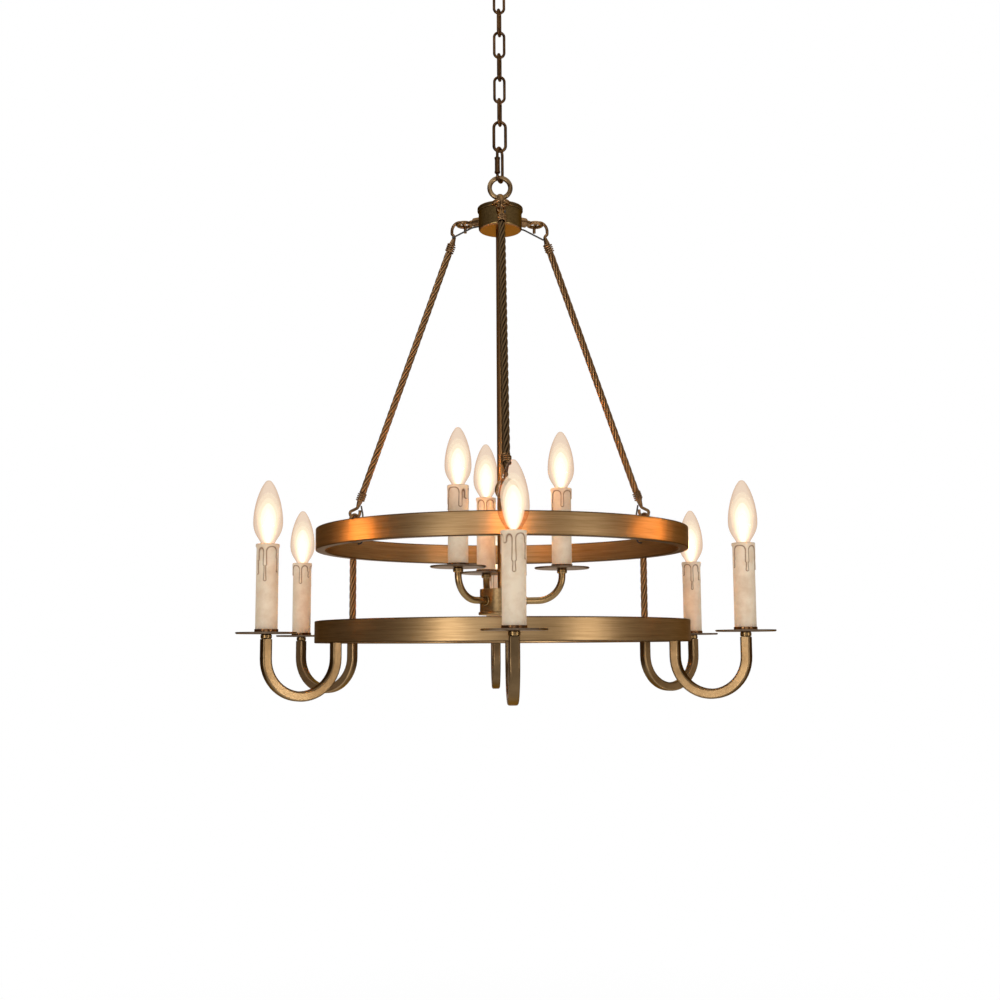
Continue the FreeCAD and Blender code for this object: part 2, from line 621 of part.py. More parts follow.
def whipping_path():
    """Quarter turns of a helix round the Z axis, from height 0 upwards."""
    radius = ROD_TIP_RADIUS + WHIP_CLEARANCE + WHIP_WIRE / 2
    climb = WHIP_PITCH / (2 * math.pi * radius)
    quarters = 4 * WHIP_TURNS
    stops = []
    for i in range(quarters + 1):
        angle = i * math.pi / 2
        point = Vector(radius * math.cos(angle), radius * math.sin(angle), WHIP_PITCH * i / 4)
        way = Vector(-math.sin(angle), math.cos(angle), climb).normalize()
        stops.append((point, way))
    edges = []
    for (start, start_way), (end, end_way) in zip(stops, stops[1:]):
        edges += biarc(start, start_way, end, end_way)
    return Part.Wire(edges)


def least_gap(path, turns):
    """Least distance between neighbouring turns, less the wire, measured on points of the path."""
    per_turn = 48
    points = path.discretize(per_turn * turns + 1)
    least = min(a.distanceToPoint(b) for i, a in enumerate(points)
                for b in points[i + per_turn // 2:])
    return least - WHIP_WIRE


def whipping(start, way):
    """Wire wound round the rod's necked end, from its cone inwards."""
    path = whipping_path()
    coil = tube_along(path, WHIP_WIRE / 2)
    spare = ROD_TIP_LENGTH - WHIP_PITCH * WHIP_TURNS
    coil.Placement = FreeCAD.Placement(start + way * (spare / 2), FreeCAD.Rotation(UP, way))
    return coil


def rod_whippings():
    return [whipping(rod_top, rod_way), whipping(rod_low, rod_way * -1)]


# ---- hoops, with their loops and spacer rods -------------------------------------------------------------
def hoop(low_z):
    """Rolled rectangular tube with rounded edges."""
    inner_radius = HOOP_RADIUS - HOOP_THICKNESS
    outer = disc(HOOP_RADIUS, low_z, HOOP_HEIGHT, inner_radius)
    outer = outer.makeFillet(HOOP_EDGE, [e for e in outer.Edges if e.Closed])
    inside = disc(HOOP_RADIUS - HOOP_WALL, low_z + HOOP_WALL, HOOP_HEIGHT - 2 * HOOP_WALL, inner_radius + HOOP_WALL)
    return outer.cut(inside)


def wire_holes(hoop_solid, floor_z, angles):
    """Holes through a hoop's upper or lower wall, where wires pass into what is fixed there."""
    hole = Part.makeCylinder(WIRE_HOLE_RADIUS, HOOP_WALL, Vector(hoop_middle, 0, floor_z))
    for angle in angles:
        hoop_solid = hoop_solid.cut(to_azimuth(hole, angle))
    return hoop_solid


def upper_hoop():
    solid = wire_holes(hoop(upper_low_z), upper_low_z, azimuths(ROD_COUNT))
    inner_face = HOOP_RADIUS - HOOP_THICKNESS
    entry = Part.makeCylinder(lead_hole, HOOP_WALL + HOOP_EDGE, Vector(inner_face - HOOP_EDGE, 0, low_lead_z), ALONG_X)
    for angle in azimuths(ROD_COUNT, ROD_TURN):
        solid = solid.cut(to_azimuth(entry, angle))
    return solid


def lower_hoop():
    solid = wire_holes(hoop(lower_low_z), lower_top_z - HOOP_WALL, azimuths(ROD_COUNT))
    return wire_holes(solid, lower_low_z, azimuths(ARM_COUNT))


def hoop_loops():
    """Upright loops on short necks, brazed to the upper hoop."""
    neck = Part.makeCylinder(LOOP_WIRE / 2, LOOP_NECK + LOOP_WIRE / 2, Vector(hoop_middle, 0, upper_top_z))
    major = (LOOP_DIAMETER - LOOP_WIRE) / 2
    loop = Part.makeTorus(major, LOOP_WIRE / 2, Vector(hoop_middle, 0, loop_z), ALONG_X)
    return around(fuse([neck, loop]), azimuths(ROD_COUNT, ROD_TURN))


def spacer_rods():
    """Short rope-twist tubes that hold the hoops apart."""
    bore = Part.makeCylinder(ROD_BORE, HOOP_SPACE, Vector(hoop_middle, 0, lower_top_z))
    rod = Part.makeCylinder(SPACER_RADIUS, HOOP_SPACE, Vector(hoop_middle, 0, lower_top_z)).cut(bore)
    return around(rod, azimuths(ROD_COUNT))


# ---- outer arms ------------------------------------------------------------------------------------------
def arm_section(side, corner):
    """Square with rounded corners, in the plane of the hoop's underside."""
    half = side / 2
    square = Part.makePlane(side, side, Vector(hoop_middle - half, -half, lower_low_z)).extrude(UP)
    square = square.makeFillet(corner, [e for e in square.Edges if abs(e.tangentAt(0).z) > 0.9])
    return [f for f in square.Faces if f.BoundBox.ZMax < lower_low_z + 0.1][0]


def arm_solid(side, corner):
    """Inner leg, half-circle bend and outer leg of one arm."""
    bend = (ARM_REACH - hoop_middle) / 2
    bend_z = lower_low_z - ARM_STRAIGHT
    section = arm_section(side, corner)
    inner_leg = section.extrude(Vector(0, 0, -ARM_STRAIGHT))
    low_section = section.copy()
    low_section.translate(Vector(0, 0, -ARM_STRAIGHT))
    turn = low_section.revolve(Vector(hoop_middle + bend, 0, bend_z), Vector(0, -1, 0), 180)
    outer_section = low_section.copy()
    outer_section.translate(Vector(2 * bend, 0, 0))
    outer_leg = outer_section.extrude(Vector(0, 0, outer_neck_z - bend_z))
    return fuse([inner_leg, turn, outer_leg])


def outer_arm():
    """J-shaped square tube, from the lower hoop's underside out and up to a candle."""
    inner_corner = max(ARM_CORNER - ARM_WALL, ARM_WALL / 4)
    return arm_solid(ARM_SIDE, ARM_CORNER).cut(arm_solid(ARM_SIDE - 2 * ARM_WALL, inner_corner))


# ---- candles: the same pieces stand on the outer and the inner arms --------------------------------------
def neck(low_z):
    """Turned coupling between an arm's end and the drip pan."""
    solid = disc(NECK_RADIUS, low_z, NECK_HEIGHT)
    solid = solid.makeChamfer(NECK_CHAMFER, [e for e in solid.Edges if e.Closed])
    return solid.cut(disc(WIRE_HOLE_RADIUS, low_z, NECK_HEIGHT))


def drip_pan(low_z):
    """Thin pan with a turned-up lip and a hole for the wires."""
    top_z = low_z + PAN_THICKNESS
    return lathe(outline([(WIRE_HOLE_RADIUS, low_z), (PAN_RADIUS - PAN_LIP, low_z), (PAN_RADIUS, low_z + PAN_LIP),
                          (PAN_RADIUS - PAN_THICKNESS / 2, top_z + PAN_LIP), (PAN_RADIUS - PAN_LIP - PAN_THICKNESS,
                                                                            top_z), (WIRE_HOLE_RADIUS, top_z)]))


def candle_cup(low_z):
    """Shallow ring with a floor, in which the candle sleeve stands."""
    cup = disc(CUP_RADIUS, low_z, CUP_HEIGHT)
    cup = cup.makeFillet(CUP_HEIGHT / 5, [e for e in cup.Edges if e.Closed and e.BoundBox.ZMax < low_z + 0.1])
    cup = cup.cut(disc(SLEEVE_RADIUS + SLEEVE_FIT, low_z + CUP_FLOOR, CUP_HEIGHT - CUP_FLOOR))
    return cup.cut(disc(WIRE_HOLE_RADIUS, low_z, CUP_FLOOR))


def candle_sleeve(low_z):
    """Tube that looks like a wax candle and covers the socket."""
    return disc(SLEEVE_RADIUS, low_z, SLEEVE_LENGTH, SLEEVE_BORE)


def lamp_socket(low_z):
    """Screw socket on a pipe, which stands on the cup's floor inside the sleeve."""
    mouth_z = low_z + SLEEVE_LENGTH - SOCKET_SET_BACK
    body = disc(SOCKET_RADIUS, mouth_z - SOCKET_HEIGHT, SOCKET_HEIGHT)
    pipe = disc(SOCKET_PIPE_RADIUS, low_z, SLEEVE_LENGTH - SOCKET_SET_BACK - SOCKET_HEIGHT)
    well_depth = BULB_BASE_LENGTH + BULB_BASE_CLEARANCE
    well = disc(BULB_BASE_RADIUS + LOOSE_CLEARANCE, mouth_z - well_depth, well_depth)
    bore = disc(SOCKET_PIPE_BORE, low_z, SLEEVE_LENGTH - SOCKET_SET_BACK - well_depth)
    return fuse([body, pipe]).cut(well).cut(bore)


def flame(rim_z, foot_z, inset):
    """Solid in the shape of the bulb's glass, or of its hollow if it is inset by the wall."""
    belly_z = rim_z + BULB_BELLY
    tip = Vector(0, 0, rim_z + BULB_VISIBLE - inset)
    foot = Vector(BULB_NECK_RADIUS - inset, 0, foot_z + inset)
    shoulder = Vector(BULB_RADIUS * 0.83 - inset, 0, rim_z + BULB_BELLY * 0.45)
    belly = Vector(BULB_RADIUS - inset, 0, belly_z)
    flank = Vector(BULB_RADIUS * 0.74 - inset, 0, belly_z + (BULB_VISIBLE - BULB_BELLY) * 0.47)
    profile = Part.BSplineCurve()
    profile.interpolate([foot, shoulder, belly, flank, tip])
    axis_foot = Vector(0, 0, foot.z)
    edges = [profile.toShape(), Part.LineSegment(tip, axis_foot).toShape(),
             Part.LineSegment(axis_foot, foot).toShape()]
    return lathe(edges)


def candle_bulb(low_z):
    """Candle bulb: a screw base in the socket and a hollow glass flame over the sleeve."""
    rim_z = low_z + SLEEVE_LENGTH
    mouth_z = rim_z - SOCKET_SET_BACK
    foot_z = mouth_z + LOOSE_CLEARANCE
    base = disc(BULB_BASE_RADIUS, foot_z - BULB_BASE_LENGTH, BULB_BASE_LENGTH)
    base = base.makeChamfer(BULB_BASE_RADIUS / 4, [e for e in base.Edges if e.Closed and e.BoundBox.ZMax < mouth_z])
    glass = flame(rim_z, foot_z, 0.0)
    return fuse([base, glass]).cut(flame(rim_z, foot_z, BULB_GLASS))


def on_arms(shape, reach, angles):
    """Copies of what is drawn on the axis, moved out to the arms' ends."""
    moved = shape.copy()
    moved.translate(Vector(reach, 0, 0))
    return around(moved, angles)


# ---- inner cluster: lower hub, its base and three arms ---------------------------------------------------
inner_angles = azimuths(CLUSTER_COUNT, CLUSTER_TURN)
inner_axis_z = lower_hub_top_z - INNER_ARM_DROP


def cluster_body():
    """Drum, closed on top, that turns on the stem."""
    height = LOWER_HUB_HEIGHT - BASE_THICKNESS
    drum = disc(LOWER_HUB_RADIUS, lower_hub_top_z - height, height)
    top_edges = [e for e in drum.Edges if e.Closed and e.BoundBox.ZMin > lower_hub_top_z - 0.1]
    drum = drum.makeFillet(LOWER_HUB_WALL / 2, top_edges)
    drum = drum.cut(disc(LOWER_HUB_RADIUS - LOWER_HUB_WALL, lower_hub_top_z - height, height - LOWER_HUB_WALL))
    drum = drum.cut(disc(STEM_RADIUS + RUN_CLEARANCE, lower_hub_top_z - LOWER_HUB_WALL, LOWER_HUB_WALL))
    hole = Part.makeCylinder(INNER_ARM_RADIUS + THREAD_CLEARANCE, LOWER_HUB_RADIUS, Vector(0, 0, inner_axis_z), ALONG_X)
    for angle in inner_angles:
        drum = drum.cut(to_azimuth(hole, angle))
    return drum


def cluster_base():
    """Flanged plate that closes the lower hub, with a rim inside the drum."""
    plate = disc(LOWER_HUB_RADIUS + BASE_LIP, lower_hub_low_z, BASE_THICKNESS)
    plate = plate.makeFillet(BASE_LIP * 0.6, [e for e in plate.Edges if e.Closed])
    rim_radius = LOWER_HUB_RADIUS - LOWER_HUB_WALL - THREAD_CLEARANCE
    rim = disc(rim_radius, lower_hub_low_z + BASE_THICKNESS, LOWER_HUB_WALL * 2, rim_radius - LOWER_HUB_WALL)
    return fuse([plate, rim])


def inner_arm_solid(radius):
    """Straight run out of the hub, quarter bend and upright end."""
    start = LOWER_HUB_RADIUS - LOWER_HUB_WALL - INNER_ARM_SEAT
    bend_x = INNER_REACH - INNER_ARM_BEND
    section = Part.Face(Part.Wire(Part.makeCircle(radius, Vector(start, 0, inner_axis_z), ALONG_X)))
    run = section.extrude(Vector(bend_x - start, 0, 0))
    bend_section = section.copy()
    bend_section.translate(Vector(bend_x - start, 0, 0))
    bend = bend_section.revolve(Vector(bend_x, 0, inner_axis_z + INNER_ARM_BEND), Vector(0, -1, 0), 90)
    rise_z = inner_axis_z + INNER_ARM_BEND
    end = Part.makeCylinder(radius, inner_neck_z - rise_z, Vector(INNER_REACH, 0, rise_z))
    return fuse([run, bend, end])


def inner_arm():
    return inner_arm_solid(INNER_ARM_RADIUS).cut(inner_arm_solid(INNER_ARM_BORE))


def inner_arm_collar():
    """Small ring round the arm, against the lower hub."""
    bore = INNER_ARM_RADIUS + THREAD_CLEARANCE
    start = Vector(LOWER_HUB_RADIUS - COLLAR_LENGTH, 0, inner_axis_z)
    ring = Part.makeCylinder(COLLAR_RADIUS, 2 * COLLAR_LENGTH, start, ALONG_X)
    ring = ring.makeFillet(COLLAR_LENGTH / 3, [e for e in ring.Edges if e.Closed])
    ring = ring.cut(Part.makeCylinder(bore, 2 * COLLAR_LENGTH, start, ALONG_X))
    return ring.cut(disc(LOWER_HUB_RADIUS, lower_hub_low_z, LOWER_HUB_HEIGHT))


def inner_arm_collars():
    """The rings at the arms' roots, and the necks on their upper ends."""
    rings = around(inner_arm_collar(), inner_angles)
    necks = on_arms(neck(inner_neck_z), INNER_REACH, inner_angles)
    return Part.makeCompound(rings.Solids + necks.Solids)


# ---- lead wires: short black wires that bridge each rod's hooks ------------------------------------------
lead_radius = LEAD_WIRE / 2
lead_hole = lead_radius + LOOSE_CLEARANCE
top_lead_z = eye_z - EYE_BOSS_RADIUS - lead_radius - LEAD_END_GAP
low_lead_z = upper_top_z - LEAD_ENTRY_DROP


def cone_radius(part_way):
    """Radius of a hook's cone, at a share of its length from the tip."""
    return HOOK_WIRE / 2 + (ROD_TIP_RADIUS - HOOK_WIRE / 2) * part_way


def top_lead():
    """From inside the drum, under the boss and past the hook's tip, to the side of the rod's cone."""
    part_way = 0.3
    end_side = cone_radius(part_way) + lead_radius + LEAD_END_GAP
    end = top_cone_tip + rod_way * (CONE_LENGTH * part_way) + Vector(0, end_side, 0)
    points = [Vector(HUB_RADIUS - 2 * HUB_WALL, LEAD_SIDE, top_lead_z),
              Vector(HUB_RADIUS + EYE_BOSS_LENGTH, LEAD_SIDE, top_lead_z), end]
    return tube_along(round_corners(points, [TOP_LEAD_BEND]), lead_radius)


def low_lead():
    """From beside the rod's lower cone, bowed inwards past the hook's tip, into the hoop's inner face."""
    part_way = 0.5
    across = Vector(rod_way.z, 0, -rod_way.x)
    end_side = cone_radius(part_way) + lead_radius + LEAD_END_GAP
    start = low_cone_tip - rod_way * (CONE_LENGTH * part_way) + across * end_side
    bow_x = loop_wire.x - LOW_LEAD_BOW
    points = [start, Vector(bow_x, 0, loop_wire_z), Vector(bow_x, 0, low_lead_z),
              Vector(HOOP_RADIUS - HOOP_THICKNESS + 2 * HOOP_WALL, 0, low_lead_z)]
    return tube_along(round_corners(points, [LOW_LEAD_BEND, LOW_LEAD_BEND / 2]), lead_radius)


# ---- the nodes -------------------------------------------------------------------------------------------
rod_names = dict(zip(("front", "right", "left"), azimuths(ROD_COUNT, ROD_TURN)))
bulb_names = dict(zip(("front", "front_right", "rear_right", "rear", "rear_left", "front_left"), azimuths(ARM_COUNT)))
inner_names = dict(zip(("right", "rear", "left"), inner_angles))


def all_nodes():
    outer = azimuths(ARM_COUNT)
    outer_pan_z = outer_neck_z + NECK_HEIGHT
    outer_cup_z = outer_pan_z + PAN_THICKNESS
    outer_floor_z = outer_cup_z + CUP_FLOOR
    inner_pan_z = inner_neck_z + NECK_HEIGHT
    inner_cup_z = inner_pan_z + PAN_THICKNESS
    inner_floor_z = inner_cup_z + CUP_FLOOR
    nodes = {
        "mounting_strap": mounting_strap(),
        "canopy_nipple": canopy_nipple(),
        "nipple_nuts": nipple_nuts(),
        "canopy": canopy(),
        "collar_nut": collar_nut(),
        "canopy_loop": canopy_loop(),
    }
    for index in range(LINK_COUNT):
        nodes[f"chain_link_{index + 1}"] = chain_link(index)
    nodes.update({
        "connecting_link": connecting_link(),
        "quick_link": quick_link(),
        "quick_link_nut": quick_link_nut(),
        "hanging_ring": hanging_ring(),
        "ring_boss": ring_boss(),
        "hub_cap": hub_cap(),
        "hub_body": hub_body(),
        "hub_eyes": hub_eyes(),
        "stem_tube": stem_tube(),
        "stem_fittings": stem_fittings(),
        "top_leads": around(top_lead(), rod_names.values()),
    })
    rod = suspension_rod()
    hooks = Part.makeCompound(rod_hooks())
    whippings = Part.makeCompound(rod_whippings())
    for name, angle in rod_names.items():
        nodes[f"rod_{name}"] = to_azimuth(rod, angle)
        nodes[f"rod_hooks_{name}"] = to_azimuth(hooks, angle)
        nodes[f"rod_whippings_{name}"] = to_azimuth(whippings, angle)
    nodes.update({
        "upper_hoop": upper_hoop(),
        "lower_hoop": lower_hoop(),
        "hoop_loops": hoop_loops(),
        "spacer_rods": spacer_rods(),
        "low_leads": around(low_lead(), rod_names.values()),
        "outer_arms": around(outer_arm(), outer),
        "arm_necks": on_arms(neck(outer_neck_z), ARM_REACH, outer),
        "drip_pans": on_arms(drip_pan(outer_pan_z), ARM_REACH, outer),
        "candle_cups": on_arms(candle_cup(outer_cup_z), ARM_REACH, outer),
        "candle_sleeves": on_arms(candle_sleeve(outer_floor_z), ARM_REACH, outer),
        "lamp_sockets": on_arms(lamp_socket(outer_floor_z), ARM_REACH, outer),
        "cluster_body": cluster_body(),
        "cluster_base": cluster_base(),
        "inner_arms": around(inner_arm(), inner_angles),
        "inner_arm_collars": inner_arm_collars(),
        "inner_drip_pans": on_arms(drip_pan(inner_pan_z), INNER_REACH, inner_angles),
        "inner_candle_cups": on_arms(candle_cup(inner_cup_z), INNER_REACH, inner_angles),
        "inner_candle_sleeves": on_arms(candle_sleeve(inner_floor_z), INNER_REACH, inner_angles),
        "inner_lamp_sockets": on_arms(lamp_socket(inner_floor_z), INNER_REACH, inner_angles),
    })
    outer_bulb = candle_bulb(outer_floor_z)
    for name, angle in bulb_names.items():
        nodes[f"bulb_{name}"] = on_arms(outer_bulb, ARM_REACH, [angle]).Solids[0]
    inner_bulb = candle_bulb(inner_floor_z)
    for name, angle in inner_names.items():
        nodes[f"inner_bulb_{name}"] = on_arms(inner_bulb, INNER_REACH, [angle]).Solids[0]
    return nodes


os.makedirs("parts", exist_ok=True)
for node_name, node_shape in all_nodes().items():
    node_shape.exportStep(f"parts/{node_name}.step")
print(f"least gap of a whipping to itself: {least_gap(whipping_path(), WHIP_TURNS):.2f} mm")
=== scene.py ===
"""Wagon wheel chandelier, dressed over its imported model.

Lengths are in metres. +Z is up and the front faces -Y.
"""

import json
import math
import random

import bpy
from mathutils import Matrix, Vector
from mathutils.geometry import interpolate_bezier


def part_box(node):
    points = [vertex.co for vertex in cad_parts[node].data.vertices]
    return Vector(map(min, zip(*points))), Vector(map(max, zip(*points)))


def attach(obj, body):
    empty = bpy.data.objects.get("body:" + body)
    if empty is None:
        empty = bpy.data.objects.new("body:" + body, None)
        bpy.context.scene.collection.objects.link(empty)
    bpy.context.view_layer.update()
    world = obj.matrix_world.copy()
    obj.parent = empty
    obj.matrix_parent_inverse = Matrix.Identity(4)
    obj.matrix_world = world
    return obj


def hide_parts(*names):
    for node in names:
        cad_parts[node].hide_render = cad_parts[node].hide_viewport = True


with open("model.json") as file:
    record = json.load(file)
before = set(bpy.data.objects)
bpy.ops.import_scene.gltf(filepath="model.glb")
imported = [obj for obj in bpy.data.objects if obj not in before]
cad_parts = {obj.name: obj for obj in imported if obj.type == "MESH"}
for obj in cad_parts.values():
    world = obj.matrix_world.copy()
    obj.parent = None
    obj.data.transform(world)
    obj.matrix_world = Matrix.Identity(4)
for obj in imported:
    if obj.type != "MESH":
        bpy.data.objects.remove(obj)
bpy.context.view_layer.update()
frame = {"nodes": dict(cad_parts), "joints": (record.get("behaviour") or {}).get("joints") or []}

# ---- camera ----------------------------------------------------------------------------------------------
# The lamp was photographed from a little below the hoops, with the front arm turned slightly to the right.
# The camera looks up by seven degrees.
CAMERA_DISTANCE = 1.6145  # from the lamp's axis
CAMERA_HEIGHT = -0.9811
CAMERA_AZIMUTH = math.radians(-2.161)
CAMERA_HEADING = math.radians(-2.079)
CAMERA_PITCH = math.radians(6.945)
CAMERA_ROLL = math.radians(-0.314)
CAMERA_WIDTH_OF_VIEW = math.radians(44.487)

camera = bpy.data.objects.new("camera", bpy.data.cameras.new("camera"))
bpy.context.scene.collection.objects.link(camera)
camera.data.angle = CAMERA_WIDTH_OF_VIEW
camera.matrix_world = (
    Matrix.Translation((CAMERA_DISTANCE * math.sin(CAMERA_AZIMUTH),
                        -CAMERA_DISTANCE * math.cos(CAMERA_AZIMUTH), CAMERA_HEIGHT))
    @ Matrix.Rotation(CAMERA_HEADING, 4, "Z")
    @ Matrix.Rotation(math.pi / 2 + CAMERA_PITCH, 4, "X")
    @ Matrix.Rotation(CAMERA_ROLL, 4, "Z"))
bpy.context.scene.camera = camera
bpy.context.scene.view_settings.view_transform = "Standard"

# ---- studio ----------------------------------------------------------------------------------------------
# White surroundings, a floor well under the lamp, two soft boxes, and dark cloths at the sides that only the
# metal reflects, as in a photographer's tent.
ROOM_LEVEL = 0.55
ROOM_COLOUR = (1.0, 0.985, 0.965)
FLOOR_HEIGHT = -2.5
FLOOR_RADIUS = 9.0
FLOOR_SIDES = 96
FLOOR_GREY = 0.9
FLOOR_ROUGHNESS = 0.9
SHADED_RADIUS = 1.2
WHITE_RADIUS = SHADED_RADIUS * 4  # from here outwards the floor takes no shadow
WHITE_SHARE = 0.85  # of the floor's colour, within the shaded radius
CLOTH_RADIUS = 2.9
CLOTH_FOOT = FLOOR_HEIGHT + 0.2
CLOTH_TOP = 1.2
CLOTH_STEPS = 24
LEFT_CLOTH_COLOUR = (0.13, 0.10, 0.08)
RIGHT_CLOTH_COLOUR = (0.27, 0.22, 0.17)
BOX_SIZE = 0.7
KEY_PLACE = (-1.35, -2.15, -1.35)
KEY_WATTS = 20.0
KEY_COLOUR = (1.0, 0.98, 0.95)
FILL_PLACE = (1.75, -1.7, -1.35)
FILL_WATTS = 13.0
FILL_COLOUR = (1.0, 0.97, 0.93)
LIT_POINT = (0, 0, -0.75)
SHARP_EDGE = math.radians(38)


def link_nodes(tree, source, target):
    tree.links.new(source, target)


def whites_seen(tree):
    """1 for what the camera sees straight on, mirrored or through glass, and 0 for soft light."""
    path = tree.nodes.new("ShaderNodeLightPath")
    total = path.outputs["Is Camera Ray"]
    for name in ("Is Glossy Ray", "Is Transmission Ray"):
        add = tree.nodes.new("ShaderNodeMath")
        add.operation = "ADD"
        add.use_clamp = True
        link_nodes(tree, total, add.inputs[0])
        link_nodes(tree, path.outputs[name], add.inputs[1])
        total = add.outputs[0]
    return total


def white_room():
    world = bpy.data.worlds.new("white_room")
    world.use_nodes = True
    tree = world.node_tree
    soft = tree.nodes["Background"]
    soft.inputs["Color"].default_value = (*ROOM_COLOUR, 1)
    soft.inputs["Strength"].default_value = ROOM_LEVEL
    seen = tree.nodes.new("ShaderNodeBackground")
    seen.inputs["Color"].default_value = (1, 1, 1, 1)
    mix = tree.nodes.new("ShaderNodeMixShader")
    link_nodes(tree, whites_seen(tree), mix.inputs[0])
    link_nodes(tree, soft.outputs[0], mix.inputs[1])
    link_nodes(tree, seen.outputs[0], mix.inputs[2])
    link_nodes(tree, mix.outputs[0], tree.nodes["World Output"].inputs["Surface"])
    bpy.context.scene.world = world


def floor_paint():
    """Matt white that stays white to the eye, and still takes a faint shadow under the lamp."""
    paint = bpy.data.materials.new("floor_paint")
    paint.use_nodes = True
    tree = paint.node_tree
    matt = tree.nodes["Principled BSDF"]
    matt.inputs["Base Color"].default_value = (FLOOR_GREY, FLOOR_GREY, FLOOR_GREY, 1)
    matt.inputs["Roughness"].default_value = FLOOR_ROUGHNESS
    glow = tree.nodes.new("ShaderNodeEmission")
    where = tree.nodes.new("ShaderNodeTexCoord")
    reach = tree.nodes.new("ShaderNodeVectorMath")
    reach.operation = "DISTANCE"
    reach.inputs[1].default_value = (0, 0, FLOOR_HEIGHT)
    link_nodes(tree, where.outputs["Object"], reach.inputs[0])
    whitening = tree.nodes.new("ShaderNodeMapRange")
    whitening.interpolation_type = "SMOOTHSTEP"
    whitening.inputs["From Min"].default_value = SHADED_RADIUS
    whitening.inputs["From Max"].default_value = WHITE_RADIUS
    whitening.inputs["To Min"].default_value = WHITE_SHARE
    link_nodes(tree, reach.outputs["Value"], whitening.inputs["Value"])
    share = tree.nodes.new("ShaderNodeMath")
    share.operation = "MULTIPLY"
    mix = tree.nodes.new("ShaderNodeMixShader")
    link_nodes(tree, whites_seen(tree), share.inputs[0])
    link_nodes(tree, whitening.outputs["Result"], share.inputs[1])
    link_nodes(tree, share.outputs[0], mix.inputs[0])
    link_nodes(tree, matt.outputs[0], mix.inputs[1])
    link_nodes(tree, glow.outputs[0], mix.inputs[2])
    link_nodes(tree, mix.outputs[0], tree.nodes["Material Output"].inputs["Surface"])
    return paint


def mesh_piece(name, corners, faces, made):
    """New object from corners and faces, smooth except at its edges."""
    mesh = bpy.data.meshes.new(name)
    mesh.from_pydata(corners, [], faces)
    mesh.materials.append(made)
    mesh.polygons.foreach_set("use_smooth", [True] * len(mesh.polygons))
    mesh.set_sharp_from_angle(angle=SHARP_EDGE)
    piece = bpy.data.objects.new(name, mesh)
    bpy.context.scene.collection.objects.link(piece)
    return piece


def round_floor():
    rim = []
    for i in range(FLOOR_SIDES):
        azimuth = 2 * math.pi * i / FLOOR_SIDES
        rim.append((FLOOR_RADIUS * math.cos(azimuth), FLOOR_RADIUS * math.sin(azimuth), FLOOR_HEIGHT))
    floor = mesh_piece("floor", rim, [list(range(FLOOR_SIDES))], floor_paint())


def side_cloth(name, first_degree, last_degree, colour):
    """Curved dark cloth round one side of the studio, seen in reflections alone."""
    cloth_paint = bpy.data.materials.new(name)
    cloth_paint.use_nodes = True
    shader = cloth_paint.node_tree.nodes["Principled BSDF"]
    shader.inputs["Base Color"].default_value = (0, 0, 0, 1)
    shader.inputs["Roughness"].default_value = 1.0
    shader.inputs["Emission Color"].default_value = (*colour, 1)
    shader.inputs["Emission Strength"].default_value = 1.0
    corners = []
    for i in range(CLOTH_STEPS + 1):
        azimuth = math.radians(first_degree + (last_degree - first_degree) * i / CLOTH_STEPS)
        x = CLOTH_RADIUS * math.sin(azimuth)
        y = -CLOTH_RADIUS * math.cos(azimuth)
        corners += [(x, y, CLOTH_FOOT), (x, y, CLOTH_TOP)]
    faces = [(2 * i, 2 * i + 2, 2 * i + 3, 2 * i + 1) for i in range(CLOTH_STEPS)]
    cloth = mesh_piece(name, corners, faces, cloth_paint)
    cloth.visible_camera = False
    cloth.visible_diffuse = False
    cloth.visible_transmission = False
    cloth.visible_shadow = False


def soft_box(name, place, watts, colour):
    """Square light that points at the middle of the lamp."""
    lamp = bpy.data.lights.new(name, "AREA")
    lamp.shape = "SQUARE"
    lamp.size = BOX_SIZE
    lamp.energy = watts
    lamp.color = colour
    box = bpy.data.objects.new(name, lamp)
    bpy.context.scene.collection.objects.link(box)
    box.location = place
    box.rotation_mode = "QUATERNION"
    box.rotation_quaternion = (Vector(LIT_POINT) - Vector(place)).to_track_quat("-Z", "Y")


white_room()
round_floor()
side_cloth("left_cloth", first_degree=-168, last_degree=-16, colour=LEFT_CLOTH_COLOUR)
side_cloth("right_cloth", first_degree=14, last_degree=168, colour=RIGHT_CLOTH_COLOUR)
soft_box("key_box", KEY_PLACE, KEY_WATTS, KEY_COLOUR)
soft_box("fill_box", FILL_PLACE, FILL_WATTS, FILL_COLOUR)

# ---- ceiling fitting -------------------------------------------------------------------------------------
# Spun brass canopy over a plated steel strap. A hollow nipple passes through both, with lock nuts, a collar
# nut and a screwed loop. All the brass is browned with acid, then brushed back until it shines on the faces
# and stays dark in the corners.
BROWNED = (0.115, 0.070, 0.034)
BRUSHED = (0.40, 0.265, 0.135)
CANOPY_BROWN = (0.24, 0.155, 0.08)
STEEL_DULL = (0.42, 0.42, 0.41)
STEEL_BRIGHT = (0.66, 0.66, 0.64)
METAL_TINT = (0.60, 0.42, 0.27)  # of metal seen at a slant
SATIN_DEPTH = 0.00012
BRUSH_DEPTH = 0.00010


def finish(name, metallic, roughness):
    made = bpy.data.materials.new(name)
    made.use_nodes = True
    shader = made.node_tree.nodes["Principled BSDF"]
    shader.inputs["Metallic"].default_value = metallic
    shader.inputs["Roughness"].default_value = roughness
    if metallic:
        shader.inputs["Specular Tint"].default_value = (*METAL_TINT, 1)
    return made, made.node_tree, shader


